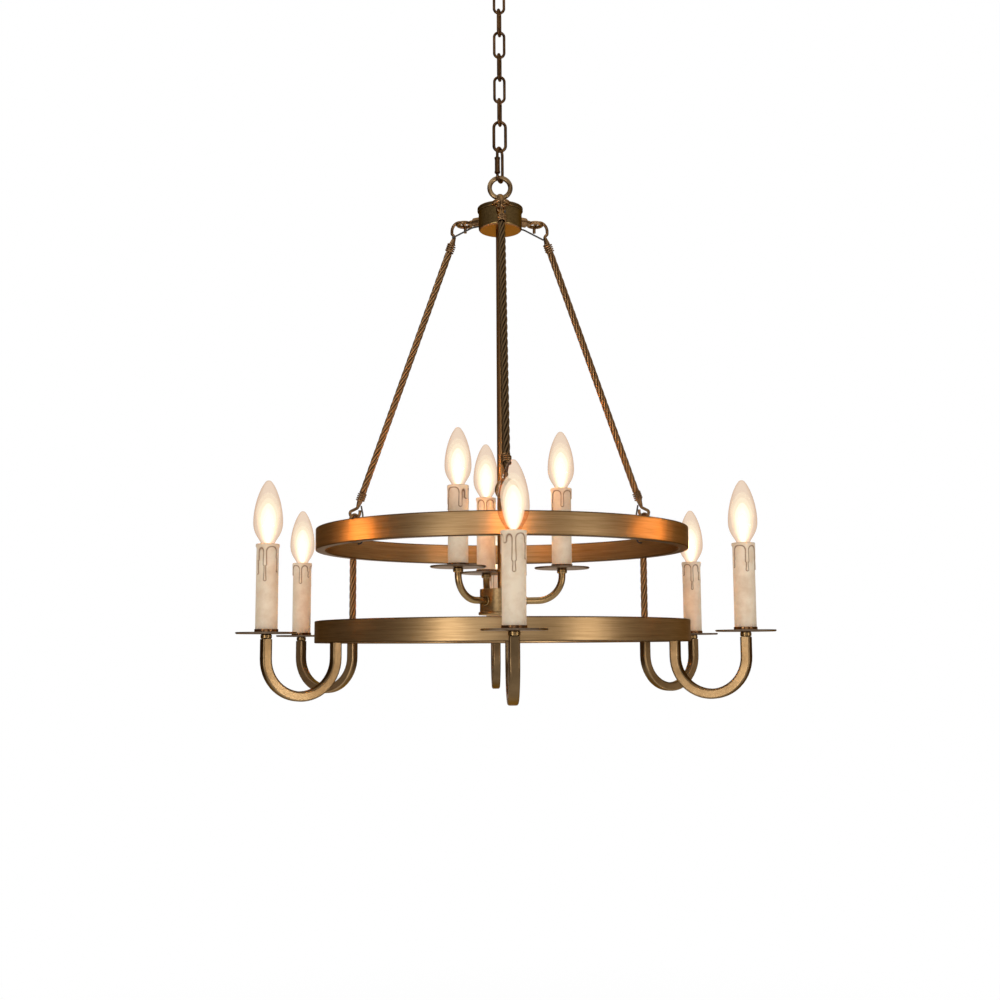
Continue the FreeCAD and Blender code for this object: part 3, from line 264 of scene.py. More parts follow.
def math_node(tree, operation, first, second=None, clamp=False):
    step = tree.nodes.new("ShaderNodeMath")
    step.operation = operation
    step.use_clamp = clamp
    for socket, value in zip(step.inputs, (first, second)):
        if value is None:
            continue
        if isinstance(value, (int, float)):
            socket.default_value = value
        else:
            link_nodes(tree, value, socket)
    return step.outputs[0]


def place_on_lamp(tree):
    """Place of a point of the piece in the lamp's own frame, and its X, Y and Z."""
    where = tree.nodes.new("ShaderNodeTexCoord")
    split = tree.nodes.new("ShaderNodeSeparateXYZ")
    link_nodes(tree, where.outputs["Object"], split.inputs[0])
    return where.outputs["Object"], split.outputs


def grain(tree, vector, scale, detail=3.0, roughness=0.55):
    noise = tree.nodes.new("ShaderNodeTexNoise")
    noise.inputs["Scale"].default_value = scale
    noise.inputs["Detail"].default_value = detail
    noise.inputs["Roughness"].default_value = roughness
    link_nodes(tree, vector, noise.inputs["Vector"])
    return noise.outputs["Fac"]


def brush_lines(tree, axes, along, across):
    """Fine lines round the lamp's axis, as a rolled and brushed strip has."""
    azimuth = math_node(tree, "ARCTAN2", axes["Y"], axes["X"])
    stretched = tree.nodes.new("ShaderNodeCombineXYZ")
    link_nodes(tree, math_node(tree, "MULTIPLY", azimuth, along), stretched.inputs["X"])
    link_nodes(tree, math_node(tree, "MULTIPLY", axes["Z"], across), stretched.inputs["Y"])
    return grain(tree, stretched.outputs[0], scale=1.0, detail=4.0, roughness=0.6)


def blended(tree, first, second, part):
    """First share, with the second in it by a part."""
    kept = math_node(tree, "MULTIPLY", first, 1.0 - part)
    added = math_node(tree, "MULTIPLY", second, part)
    return math_node(tree, "ADD", kept, added)


def between(tree, share, low, high, low_at=0.3, high_at=0.7):
    """Colour that runs from low to high as the share rises."""
    ramp = tree.nodes.new("ShaderNodeValToRGB")
    ramp.color_ramp.elements[0].position = low_at
    ramp.color_ramp.elements[0].color = (*low, 1)
    ramp.color_ramp.elements[1].position = high_at
    ramp.color_ramp.elements[1].color = (*high, 1)
    link_nodes(tree, share, ramp.inputs[0])
    return ramp.outputs["Color"]


def spread(tree, share, low, high):
    """Number that runs from low to high as the share rises from 0 to 1."""
    reach = tree.nodes.new("ShaderNodeMapRange")
    reach.inputs["To Min"].default_value = low
    reach.inputs["To Max"].default_value = high
    link_nodes(tree, share, reach.inputs["Value"])
    return reach.outputs["Result"]


def faces_along(tree, along):
    """1 on faces that look along a direction, either way, and 0 on faces square to it."""
    where = tree.nodes.new("ShaderNodeTexCoord")
    turned = tree.nodes.new("ShaderNodeVectorMath")
    turned.operation = "DOT_PRODUCT"
    link_nodes(tree, where.outputs["Normal"], turned.inputs[0])
    if isinstance(along, tuple):
        turned.inputs[1].default_value = along
    else:
        link_nodes(tree, along, turned.inputs[1])
    return math_node(tree, "ABSOLUTE", turned.outputs["Value"])


def raised(tree, shader, share, depth, strength):
    """Fine relief, in metres, too small to be made in the mesh."""
    bump = tree.nodes.new("ShaderNodeBump")
    bump.inputs["Strength"].default_value = strength
    bump.inputs["Distance"].default_value = depth
    link_nodes(tree, share, bump.inputs["Height"])
    link_nodes(tree, bump.outputs["Normal"], shader.inputs["Normal"])


def mixed_colour(tree, share, first, second):
    mix = tree.nodes.new("ShaderNodeMix")
    mix.data_type = "RGBA"
    link_nodes(tree, share, mix.inputs[0])
    for socket, value in ((mix.inputs[6], first), (mix.inputs[7], second)):
        if isinstance(value, tuple):
            socket.default_value = (*value, 1)
        else:
            link_nodes(tree, value, socket)
    return mix.outputs[2]


def worn_metal(name, dark, light, roughness, patch=28.0, fine=420.0):
    """Metal with patches of patina, a fine satin grain and slightly uneven gloss."""
    made, tree, shader = finish(name, 1.0, roughness)
    point, _ = place_on_lamp(tree)
    patches = grain(tree, point, patch, detail=5.0, roughness=0.6)
    satin = grain(tree, point, fine, detail=2.0, roughness=0.5)
    colour = between(tree, blended(tree, patches, satin, part=0.3), dark, light, low_at=0.34, high_at=0.66)
    link_nodes(tree, colour, shader.inputs["Base Color"])
    link_nodes(tree, spread(tree, patches, roughness + 0.1, roughness - 0.08), shader.inputs["Roughness"])
    raised(tree, shader, satin, SATIN_DEPTH, strength=0.35)
    return made


def brushed_metal(name, dark, light, roughness, along, across, flat=None):
    """Metal brushed round the lamp's axis. Its level faces may take a colour of their own, which on the hub is
    painted warm glow from the lit bulbs below.
    """
    made, tree, shader = finish(name, 1.0, roughness)
    point, axes = place_on_lamp(tree)
    lines = brush_lines(tree, axes, along, across)
    patches = grain(tree, point, scale=9.0, detail=3.0, roughness=0.5)
    colour = between(tree, blended(tree, lines, patches, part=0.35), dark, light, low_at=0.3, high_at=0.66)
    # The level faces take the given colour, which is painted light.
    if flat:
        upward = faces_along(tree, (0.0, 0.0, 1.0))
        level = between(tree, upward, (0, 0, 0), (1, 1, 1), low_at=0.5, high_at=0.8)
        colour = mixed_colour(tree, level, colour, flat)
    link_nodes(tree, colour, shader.inputs["Base Color"])
    link_nodes(tree, spread(tree, lines, roughness + 0.08, roughness - 0.06), shader.inputs["Roughness"])
    raised(tree, shader, lines, BRUSH_DEPTH, strength=0.3)
    return made


def dress(names, made):
    """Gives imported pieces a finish."""
    for name in names:
        piece = frame["nodes"][name]
        piece.data.materials.clear()
        piece.data.materials.append(made)


satin_brass = worn_metal("satin_brass", BROWNED, BRUSHED, roughness=0.34)
canopy_brass = brushed_metal("canopy_brass", CANOPY_BROWN, BRUSHED, roughness=0.33, along=5.0, across=380.0)
plated_steel = worn_metal("plated_steel", STEEL_DULL, STEEL_BRIGHT, roughness=0.36, patch=45.0)
dress(["canopy"], canopy_brass)
dress(["mounting_strap", "canopy_nipple", "nipple_nuts"], plated_steel)
dress(["collar_nut", "canopy_loop"], satin_brass)

# ---- chain -----------------------------------------------------------------------------------------------
# Welded wire links that hang in each other, browned dark, then a larger link and a quick link. A sleeve nut
# closes the quick link's open side.
DARK_BRONZE = (0.036, 0.019, 0.010)
RUBBED_BRONZE = (0.150, 0.076, 0.032)

dark_bronze = worn_metal("dark_bronze", DARK_BRONZE, RUBBED_BRONZE, roughness=0.32, patch=60.0)
chain_links = [name for name in frame["nodes"] if name.startswith("chain_link")]
dress(chain_links + ["connecting_link", "quick_link", "quick_link_nut"], dark_bronze)

# ---- hanging ring and top hub ----------------------------------------------------------------------------
# A solid ring through a drilled post on the lid. The drum is turned and brushed brass, and carries three cast
# eyes, each on a shank with a nut inside the drum.
HUB_BROWN = (0.105, 0.069, 0.024)
HUB_BRIGHT = (0.26, 0.175, 0.072)
# Copper colour for the drum's top and underside: painted warm glow, where the underside faces the lit bulbs.
HUB_PAINTED_WARM_GLOW = (0.27, 0.125, 0.055)
LID_BROWN = (0.07, 0.046, 0.02)
LID_BRIGHT = (0.17, 0.112, 0.05)
CAST_BROWN = (0.085, 0.050, 0.024)
CAST_BRIGHT = (0.36, 0.21, 0.10)

# The hub's level faces are painted with the bulbs' warm glow.
hub_brass = brushed_metal("hub_brass", HUB_BROWN, HUB_BRIGHT, roughness=0.32, along=8.0, across=260.0,
                          flat=HUB_PAINTED_WARM_GLOW)
lid_brass = brushed_metal("lid_brass", LID_BROWN, LID_BRIGHT, roughness=0.34, along=8.0, across=260.0)
cast_brass = worn_metal("cast_brass", CAST_BROWN, CAST_BRIGHT, roughness=0.30, patch=70.0)
dress(["hanging_ring", "ring_boss"], satin_brass)
dress(["hub_cap"], lid_brass)
dress(["hub_body"], hub_brass)
dress(["hub_eyes"], cast_brass)

# ---- stem ------------------------------------------------------------------------------------------------
# Plain brass tube down the middle, screwed into the hub with a lock nut. A collar sits on it, and the inner
# lamps rest on the nut at its foot.
STEM_BROWN = (0.17, 0.090, 0.037)
STEM_BRIGHT = (0.42, 0.24, 0.10)

stem_brass = brushed_metal("stem_brass", STEM_BROWN, STEM_BRIGHT, roughness=0.30, along=3.0, across=40.0)
dress(["stem_tube", "stem_fittings"], stem_brass)

# ---- lead wires ------------------------------------------------------------------------------------------
# Short black insulated wires that bridge the hooks, from the hub to the rods and from the rods to the hoop.
# The insulation is slightly uneven rubber.
RUBBER_BLACK = (0.012, 0.011, 0.010)
RUBBER_DUSTY = (0.03, 0.028, 0.025)

insulation, tree, shader = finish("black_insulation", 0.0, 0.42)
rubber_point, _ = place_on_lamp(tree)
rubber_grain = grain(tree, rubber_point, scale=900.0, detail=2.0)
rubber_colour = between(tree, rubber_grain, RUBBER_BLACK, RUBBER_DUSTY)
link_nodes(tree, rubber_colour, shader.inputs["Base Color"])
raised(tree, shader, rubber_grain, depth=0.00006, strength=0.4)
dress(["top_leads", "low_leads"], insulation)

# ---- suspension rods and spacers -------------------------------------------------------------------------
# Tubes covered with six wires in a long right-hand twist, browned, with the high lines brushed bright. Each
# long rod ends in a whipping and a forged hook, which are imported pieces. The spacers stand between the hoops.
STRANDS = 6
STRAND_PITCH = 0.070
WIRE_SHARE = 1.0 / 3.0  # of the rod's radius, for each wire's own radius
GROOVE_SHARE = 0.577  # of the rod's radius, where two wires touch
ROD_RADIUS = 0.00485
ROD_NECK_RADIUS = 0.00395
ROD_NECK_LENGTH = 0.014
ROD_SIDES = 60
ROD_RING_STEP = 0.0011
TOP_REACH = 0.026  # from the eye's wire to the rod's end
LOW_REACH = 0.0205  # from the loop's wire to the rod's end
HOOP_THICKNESS = 0.0124
LOOP_WIRE_RADIUS = 0.0025
ROPE_GROOVE = (0.026, 0.015, 0.008)
ROPE_RIDGE = (0.31, 0.175, 0.078)
# Darker rope colours for the front rod alone: painted shade, as the front rod stood in less light than the side
# rods.
FRONT_SHADED_ROPE_GROOVE = (0.030, 0.020, 0.011)
FRONT_SHADED_ROPE_RIDGE = (0.135, 0.085, 0.042)
FORGED_BROWN = (0.085, 0.048, 0.022)
FORGED_BRIGHT = (0.36, 0.21, 0.10)


def strand_bulge(turn):
    """Radius of the six-wire outline at an angle, as a share of the rod's radius."""
    off = (turn + math.pi / STRANDS) % (2 * math.pi / STRANDS) - math.pi / STRANDS
    ring = 1.0 - WIRE_SHARE
    return ring * math.cos(off) + math.sqrt(max(WIRE_SHARE ** 2 - (ring * math.sin(off)) ** 2, 0.0))


def rope_finish(name, groove, ridge):
    """Brown in the grooves and brushed on the wires' high lines."""
    made, tree, shader = finish(name, 1.0, 0.33)
    point, _ = place_on_lamp(tree)
    height = tree.nodes.new("ShaderNodeAttribute")
    height.attribute_name = "strand_height"
    fine = grain(tree, point, scale=650.0, detail=2.0)
    lifted = math_node(tree, "MULTIPLY", height.outputs["Fac"], 0.8)
    uneven = math_node(tree, "MULTIPLY", fine, 0.25)
    worn = math_node(tree, "ADD", lifted, uneven, clamp=True)
    colour = between(tree, worn, groove, ridge, low_at=0.30, high_at=1.0)
    link_nodes(tree, colour, shader.inputs["Base Color"])
    link_nodes(tree, spread(tree, fine, low=0.42, high=0.28), shader.inputs["Roughness"])
    raised(tree, shader, fine, depth=0.0002, strength=0.4)
    return made


twisted_brass = rope_finish("twisted_brass", ROPE_GROOVE, ROPE_RIDGE)
# Painted shade: the same rope finish, made darker, for the front rod alone.
front_painted_shade_brass = rope_finish("front_painted_shade_brass", FRONT_SHADED_ROPE_GROOVE, FRONT_SHADED_ROPE_RIDGE)


def twisted_rod(name, start, end, neck, node, body, made):
    """Six wires laid round a core, from start to end, drawn in where a whipping covers them."""
    way = end - start
    length = way.length
    way.normalize()
    side = way.orthogonal().normalized()
    third = way.cross(side)
    rings = round(length / ROD_RING_STEP)
    corners, heights = [], []
    for i in range(rings + 1):
        at = length * i / rings
        from_end = min(at, length - at)
        size = ROD_NECK_RADIUS if from_end < neck else ROD_RADIUS
        middle = start + way * at
        for j in range(ROD_SIDES):
            turn = 2 * math.pi * j / ROD_SIDES
            bulge = strand_bulge(turn - 2 * math.pi * at / STRAND_PITCH)
            corners.append(middle + (side * math.cos(turn) + third * math.sin(turn)) * (size * bulge))
            heights.append((bulge - GROOVE_SHARE) / (1.0 - GROOVE_SHARE))
    faces = []
    for i in range(rings):
        for j in range(ROD_SIDES):
            row, next_row = i * ROD_SIDES, (i + 1) * ROD_SIDES
            ahead = (j + 1) % ROD_SIDES
            faces.append((row + j, row + ahead, next_row + ahead, next_row + j))
    last_row = rings * ROD_SIDES
    faces += [list(reversed(range(ROD_SIDES))), list(range(last_row, last_row + ROD_SIDES))]
    rod = mesh_piece(name, corners, faces, made)
    strand = rod.data.attributes.new("strand_height", "FLOAT", "POINT")
    strand.data.foreach_set("value", heights)
    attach(rod, body)
    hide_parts(node)


upper_hoop_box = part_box("upper_hoop")
lower_hoop_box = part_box("lower_hoop")
hoop_middle = upper_hoop_box[1].x - HOOP_THICKNESS / 2
loop_wire_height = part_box("hoop_loops")[1].z - LOOP_WIRE_RADIUS
swings = {joint["name"]: joint for joint in frame["joints"]}

for name in ("front", "right", "left"):
    swing = swings[f"rod_{name}_swing"]
    outward = Vector(swing["axis"])
    eye_wire = Vector(swing["pos_m"])
    loop_wire = outward * hoop_middle + Vector((0, 0, loop_wire_height))
    along = (loop_wire - eye_wire).normalized()
    # The front rod takes the darker rope finish, whose darkness is painted shade.
    twisted_rod(f"rope_rod_{name}", eye_wire + along * TOP_REACH, loop_wire - along * LOW_REACH,
                ROD_NECK_LENGTH, f"rod_{name}", f"suspension_{name}",
                front_painted_shade_brass if name == "front" else twisted_brass)

for name, degrees in (("front", 0), ("right", 120), ("left", 240)):
    azimuth = math.radians(degrees)
    foot = Vector((math.sin(azimuth), -math.cos(azimuth), 0)) * hoop_middle
    twisted_rod(f"rope_spacer_{name}", foot + Vector((0, 0, lower_hoop_box[1].z)),
                foot + Vector((0, 0, upper_hoop_box[0].z)), 0.0, "spacer_rods", "wheel", twisted_brass)

forged_brass = worn_metal("forged_brass", FORGED_BROWN, FORGED_BRIGHT, roughness=0.28, patch=90.0)
dress([name for name in frame["nodes"] if name.startswith(("rod_hooks", "rod_whippings"))], forged_brass)

# ---- hoops -----------------------------------------------------------------------------------------------
# Rolled rectangular brass tube, brushed round its length. The edges keep their dark patina, where the brush
# doesn't reach. Three cast loops on necks stand on the upper hoop, for the rods' hooks.
EDGE_ROUND = 0.0003
EDGE_HEIGHT = 0.0016  # over which the patina fades
HOOP_BROWN = (0.215, 0.130, 0.055)
HOOP_BRIGHT = (0.50, 0.335, 0.17)
HOOP_PATINA = (0.075, 0.045, 0.024)


def hoop_finish(name, box):
    """Broad and fine brush lines with soft clouds, and dark along both edges."""
    made, tree, shader = finish(name, 1.0, 0.34)
    point, axes = place_on_lamp(tree)
    broad = brush_lines(tree, axes, along=2.2, across=260.0)
    fine = brush_lines(tree, axes, along=7.0, across=1500.0)
    cloud = grain(tree, point, scale=5.0, detail=3.0, roughness=0.5)
    lines = blended(tree, broad, fine, part=0.5)
    blend = blended(tree, lines, cloud, part=0.3)
    face = between(tree, blend, HOOP_BROWN, HOOP_BRIGHT, low_at=0.36, high_at=0.64)
    from_low = math_node(tree, "SUBTRACT", axes["Z"], box[0].z)
    from_top = math_node(tree, "SUBTRACT", box[1].z, axes["Z"])
    from_edge = math_node(tree, "MINIMUM", from_low, from_top)
    past_round = math_node(tree, "SUBTRACT", from_edge, EDGE_ROUND)
    clear = math_node(tree, "DIVIDE", past_round, EDGE_HEIGHT, clamp=True)
    upward = faces_along(tree, (0.0, 0.0, 1.0))
    upright = between(tree, upward, (1, 1, 1), (0, 0, 0), low_at=0.4, high_at=0.7)
    colour = mixed_colour(tree, math_node(tree, "MULTIPLY", clear, upright), HOOP_PATINA, face)
    link_nodes(tree, colour, shader.inputs["Base Color"])
    link_nodes(tree, spread(tree, lines, low=0.44, high=0.27), shader.inputs["Roughness"])
    raised(tree, shader, lines, SATIN_DEPTH, strength=0.35)
    return made


dress(["upper_hoop"], hoop_finish("upper_hoop_brass", upper_hoop_box))
dress(["lower_hoop"], hoop_finish("lower_hoop_brass", lower_hoop_box))
dress(["hoop_loops"], cast_brass)

# ---- arms, necks and pans --------------------------------------------------------------------------------
# Square brass tube bent to a J under the lower hoop, with a turned neck on its end and a thin spun pan on the
# neck. The three inner arms are round tube, each with a small collar at its root.
ARM_STEP = math.radians(60)
ARM_SIDE_BROWN = (0.205, 0.127, 0.057)
ARM_SIDE_BRIGHT = (0.37, 0.243, 0.122)
ARM_BACK_BROWN = (0.060, 0.038, 0.018)
ARM_BACK_BRIGHT = (0.185, 0.118, 0.058)
TUBE_BROWN = (0.15, 0.093, 0.040)
TUBE_BRIGHT = (0.34, 0.225, 0.10)
PAN_BROWN = (0.075, 0.052, 0.036)
PAN_BRIGHT = (0.19, 0.135, 0.09)


def arm_finish():
    """The two sides that look sideways, out of the arm's own plane, are lighter. The corners and the sides that
    look inwards and outwards are darker.
    """
    made, tree, shader = finish("arm_brass", 1.0, 0.33)
    point, axes = place_on_lamp(tree)
    azimuth = math_node(tree, "ARCTAN2", axes["X"], math_node(tree, "MULTIPLY", axes["Y"], -1.0))
    arm_number = math_node(tree, "ROUND", math_node(tree, "DIVIDE", azimuth, ARM_STEP))
    arm = math_node(tree, "MULTIPLY", arm_number, ARM_STEP)
    sideways = tree.nodes.new("ShaderNodeCombineXYZ")
    link_nodes(tree, math_node(tree, "COSINE", arm), sideways.inputs["X"])
    link_nodes(tree, math_node(tree, "SINE", arm), sideways.inputs["Y"])
    facing = faces_along(tree, sideways.outputs[0])
    side = between(tree, facing, (0, 0, 0), (1, 1, 1), low_at=0.62, high_at=0.97)
    patches = grain(tree, point, scale=16.0, detail=5.0, roughness=0.6)
    satin = grain(tree, point, scale=520.0, detail=2.0)
    bright = between(tree, patches, ARM_SIDE_BROWN, ARM_SIDE_BRIGHT, low_at=0.34, high_at=0.66)
    brown = between(tree, patches, ARM_BACK_BROWN, ARM_BACK_BRIGHT)
    link_nodes(tree, mixed_colour(tree, side, brown, bright), shader.inputs["Base Color"])
    link_nodes(tree, spread(tree, satin, low=0.44, high=0.28), shader.inputs["Roughness"])
    raised(tree, shader, satin, SATIN_DEPTH, strength=0.35)
    return made


tube_brass = worn_metal("tube_brass", TUBE_BROWN, TUBE_BRIGHT, roughness=0.28, patch=6.0, fine=500.0)
pan_bronze = worn_metal("pan_bronze", PAN_BROWN, PAN_BRIGHT, roughness=0.30, patch=30.0)
dress(["outer_arms"], arm_finish())
dress(["inner_arms", "arm_necks", "inner_arm_collars"], tube_brass)
dress(["drip_pans", "inner_drip_pans"], pan_bronze)

# ---- lower hub -------------------------------------------------------------------------------------------
# Brass drum that turns on the stem and rests on the stem's nut, with a flanged base. Both are brushed on the
# lathe.
DRUM_BROWN = (0.15, 0.096, 0.045)
DRUM_BRIGHT = (0.40, 0.27, 0.13)

drum_brass = brushed_metal("drum_brass", DRUM_BROWN, DRUM_BRIGHT, roughness=0.32, along=8.0, across=260.0)
dress(["cluster_body", "cluster_base"], drum_brass)

# ---- cups ------------------------------------------------------------------------------------------------
# Shallow polished bronze rings on the pans, which hold the sleeves' feet. They are the shiniest pieces of the
# lamp.
CUP_BROWN = (0.07, 0.034, 0.016)
CUP_BRIGHT = (0.34, 0.17, 0.07)

cup_bronze = worn_metal("cup_bronze", CUP_BROWN, CUP_BRIGHT, roughness=0.15, patch=80.0)
dress(["candle_cups", "inner_candle_cups"], cup_bronze)

# ---- sockets ---------------------------------------------------------------------------------------------
# Screw sockets moulded in dark plastic, each on a pipe inside its sleeve. Only a little of them shows, round
# the bulbs' necks.
MOULDED_BLACK = (0.02, 0.018, 0.016)
MOULDED_DUSTY = (0.05, 0.045, 0.04)

socket_plastic, tree, shader = finish("socket_plastic", 0.0, 0.5)
moulded_point, _ = place_on_lamp(tree)
moulded = grain(tree, moulded_point, scale=700.0)
link_nodes(tree, between(tree, moulded, MOULDED_BLACK, MOULDED_DUSTY), shader.inputs["Base Color"])
raised(tree, shader, moulded, depth=0.0001, strength=0.4)
dress(["lamp_sockets", "inner_lamp_sockets"], socket_plastic)

# ---- candle sleeves --------------------------------------------------------------------------------------
# Ivory tubes that look like wax candles. Molten wax seems to have run from the rim, and a brown wash lies in
# the creases round it. Each sleeve is one cast tube with the runs on it.
SLEEVE_RADIUS = 0.0130
SLEEVE_BORE = 0.0110
SLEEVE_SIDES = 150
SLEEVE_GIRTH = 2 * math.pi * SLEEVE_RADIUS * 1000  # millimetres
FINE_ROWS = 92
FINE_DEPTH = 56.0  # millimetres under the rim, where the runs are
PLAIN_ROWS = 6
RIM_LIP = 0.0004  # from the rim down to the bore's edge
RIM_ROUNDING = 0.0006
RIM_ROUNDING_DEPTH = 0.8  # millimetres
WAX_THICKNESS = 0.0010
WAX_EDGE = 0.9  # millimetres over which the wax rises
WAX_BAND = 3.4  # millimetres of plain rim, before the runs part
RUN_SPACING = 12.6  # millimetres
RUN_SHIFT = 0.28  # of the spacing, either way
SHORT_RUN = (11.0, 20.0)  # millimetres
LONG_RUN = (22.0, 33.0)
RUN_HALF_WIDTH = (1.3, 2.0)
RUN_ROOT_SHARE = 0.72  # of a run's width, where it starts
TAIL_CHANCE = 0.45
TAIL_LENGTH = (8.0, 19.0)
TAIL_ROOT_SHARE = 0.34  # of a run's width, for the thin tail
TAIL_DROP_SHARE = 0.36  # more than that, for the drop at its end
SMOOTHING = 7.0  # millimetres over which two runs flow together
CREASE_AT = 0.35  # millimetres outside the wax
CREASE_WIDTH = 0.52
RIM_WASH = 0.55
RIM_WASH_DEPTH = 1.1  # millimetres
IVORY_TANNED = (0.66, 0.50, 0.345)
IVORY_PALE = (0.78, 0.65, 0.49)
BROWN_WASH = (0.20, 0.095, 0.042)
FIRST_SEED = 40


def joined(first, second, over):
    """Distance to two shapes that flow into each other."""
    near = max(over - abs(first - second), 0.0) / over
    return min(first, second) - near * near * over / 4


def run_distance(sideways, depth, length, half_width, drop):
    """Distance to one run of wax, in millimetres: a tongue that is fuller at its end."""
    share = min(max(depth / length, 0.0), 1.0)
    width = half_width * (RUN_ROOT_SHARE + (1.0 - RUN_ROOT_SHARE) * share ** 2)
    tongue = math.hypot(sideways, max(depth - length, 0.0)) - width
    if drop:
        past = max(depth - drop, 0.0, min(length - depth, 0.0))
        fullness = min(max(depth / drop, 0.0), 1.0) ** 6
        tail = math.hypot(sideways, past) - half_width * (TAIL_ROOT_SHARE + TAIL_DROP_SHARE * fullness)
        tongue = min(tongue, tail)
    return tongue


def wax_runs(seed):
    """(place round the sleeve, length, half width, end of the thin tail or none), in millimetres."""
    chance = random.Random(seed)
    count = round(SLEEVE_GIRTH / RUN_SPACING)
    runs = []
    for i in range(count):
        place = (i + chance.uniform(-RUN_SHIFT, RUN_SHIFT)) / count
        length = chance.uniform(*SHORT_RUN) if i % 2 else chance.uniform(*LONG_RUN)
        tail = length + chance.uniform(*TAIL_LENGTH) if chance.random() < TAIL_CHANCE else None
        runs.append((place, length, chance.uniform(*RUN_HALF_WIDTH), tail))
    return runs


def wax_at(place, depth, runs):
    """Distance to the wax at a place round the sleeve and a depth under its rim."""
    wax = depth - WAX_BAND
    for run_place, length, half_width, tail in runs:
        sideways = ((place - run_place + 0.5) % 1.0 - 0.5) * SLEEVE_GIRTH
        if abs(sideways) < RUN_SPACING:
            wax = joined(wax, run_distance(sideways, depth, length, half_width, tail), SMOOTHING)
    return wax


def ivory_finish():
    """Ivory, slightly stained, with a brown wash where the crease attribute is high."""
    made, tree, shader = finish("ivory_sleeve", 0.0, 0.5)
    point, _ = place_on_lamp(tree)
    crease = tree.nodes.new("ShaderNodeAttribute")
    crease.attribute_name = "crease"
    stain = grain(tree, point, scale=55.0, detail=5.0, roughness=0.65)
    body = between(tree, stain, IVORY_TANNED, IVORY_PALE, low_at=0.30, high_at=0.6)
    wash_level = spread(tree, grain(tree, point, scale=260.0), low=0.75, high=1.3)
    wash = math_node(tree, "MULTIPLY", crease.outputs["Fac"], wash_level, clamp=True)
    link_nodes(tree, mixed_colour(tree, wash, body, BROWN_WASH), shader.inputs["Base Color"])
    link_nodes(tree, spread(tree, stain, low=0.6, high=0.42), shader.inputs["Roughness"])
    shader.inputs["Subsurface Weight"].default_value = 0.12
    shader.inputs["Subsurface Radius"].default_value = (0.004, 0.002, 0.001)
    raised(tree, shader, grain(tree, point, scale=380.0), SATIN_DEPTH, strength=0.35)
    return made


ivory = ivory_finish()


def wax_sleeve(name, middle, low, high, seed, node, body):
    """Tube made of rings of corners, from the rim down its outside and back up its bore."""
    runs = wax_runs(seed)
    length = (high - low) * 1000
    depths = [FINE_DEPTH * i / FINE_ROWS for i in range(FINE_ROWS + 1)]
    depths += [FINE_DEPTH + (length - FINE_DEPTH) * i / PLAIN_ROWS for i in range(1, PLAIN_ROWS + 1)]
    corners, creases = [], []
    for depth in depths:
        for j in range(SLEEVE_SIDES):
            place = j / SLEEVE_SIDES
            distance = wax_at(place, depth, runs)
            step = min(max((WAX_EDGE / 2 - distance) / WAX_EDGE, 0.0), 1.0)
            wax = WAX_THICKNESS * step * step * (3 - 2 * step)
            rounding = RIM_ROUNDING * max(1.0 - depth / RIM_ROUNDING_DEPTH, 0.0) ** 2
            radius = SLEEVE_RADIUS + wax - rounding
            azimuth = 2 * math.pi * place
            corners.append((middle.x + radius * math.sin(azimuth), middle.y - radius * math.cos(azimuth),
                            high - depth / 1000))
            crease_wash = math.exp(-((distance - CREASE_AT) / CREASE_WIDTH) ** 2)
            rim_wash = RIM_WASH * max(1.0 - depth / RIM_WASH_DEPTH, 0.0)
            creases.append(max(crease_wash, rim_wash))
    for height in (low, high - RIM_LIP):
        for j in range(SLEEVE_SIDES):
            azimuth = 2 * math.pi * j / SLEEVE_SIDES
            corners.append((middle.x + SLEEVE_BORE * math.sin(azimuth),
                            middle.y - SLEEVE_BORE * math.cos(azimuth), height))
            creases.append(0.0)
    rows = len(depths) + 2
    faces = []
    for i in range(rows):
        for j in range(SLEEVE_SIDES):
            row, next_row = i * SLEEVE_SIDES, (i + 1) % rows * SLEEVE_SIDES
            ahead = (j + 1) % SLEEVE_SIDES
            faces.append((row + j, next_row + j, next_row + ahead, row + ahead))
    sleeve = mesh_piece(name, corners, faces, ivory)
    crease = sleeve.data.attributes.new("crease", "FLOAT", "POINT")
    crease.data.foreach_set("value", creases)
    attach(sleeve, body)
    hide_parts(node)


bulb_names = sorted(name for name in frame["nodes"] if "bulb_" in name)
for number, name in enumerate(bulb_names):
    low_corner, high_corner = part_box(name)
    middle = (low_corner + high_corner) / 2
    inner = name.startswith("inner")
    node = "inner_candle_sleeves" if inner else "candle_sleeves"
    foot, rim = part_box(node)
    wax_sleeve(name.replace("bulb", "sleeve"), middle, foot.z, rim.z, FIRST_SEED + number, node,
               "inner_cluster" if inner else "wheel")

# ---- bulbs -----------------------------------------------------------------------------------------------
# Clear candle bulbs, lit: a blown glass flame, a bright filament in its haze, and a metal cap that screws into
# the socket. The haze stands for the glare round the filament, in layers that are fainter outwards.
BULB_SHOWN = 0.076  # of the glass, over the sleeve's rim
NECK_RADIUS = 0.0076
NECK_DROP = 0.0017  # under the sleeve's rim
BELLY_RADIUS = 0.0174
BELLY_HEIGHT = 0.025
SHOULDER_RADIUS = 0.0034
SHOULDER_DROP = 0.0014  # under the tip
NIB_RADIUS = 0.0020
NIB_DROP = 0.0004
FLAME_PULLS = ((0.0078, 0.005), (0.0172, 0.010), (0.0176, 0.045), (0.0105, 0.0665))  # (radius, height)
GLASS_MIDDLE = (0.85, 0.67, 0.52)
GLASS_SIDES = (0.66, 0.45, 0.32)
GLASS_SHADOW = (0.95, 0.90, 0.84)
GLASS_BENDING = 1.004  # thin blown glass hardly bends what is seen through it
CAP_RADIUS = 0.0067
CAP_TOP_RADIUS = 0.0068
CAP_LENGTH = 0.0215
CAP_FOOT = ((0.0, 0.0), (0.0022, 0.0), (0.0026, 0.0012), (0.0052, 0.0034))  # (radius, over the foot)
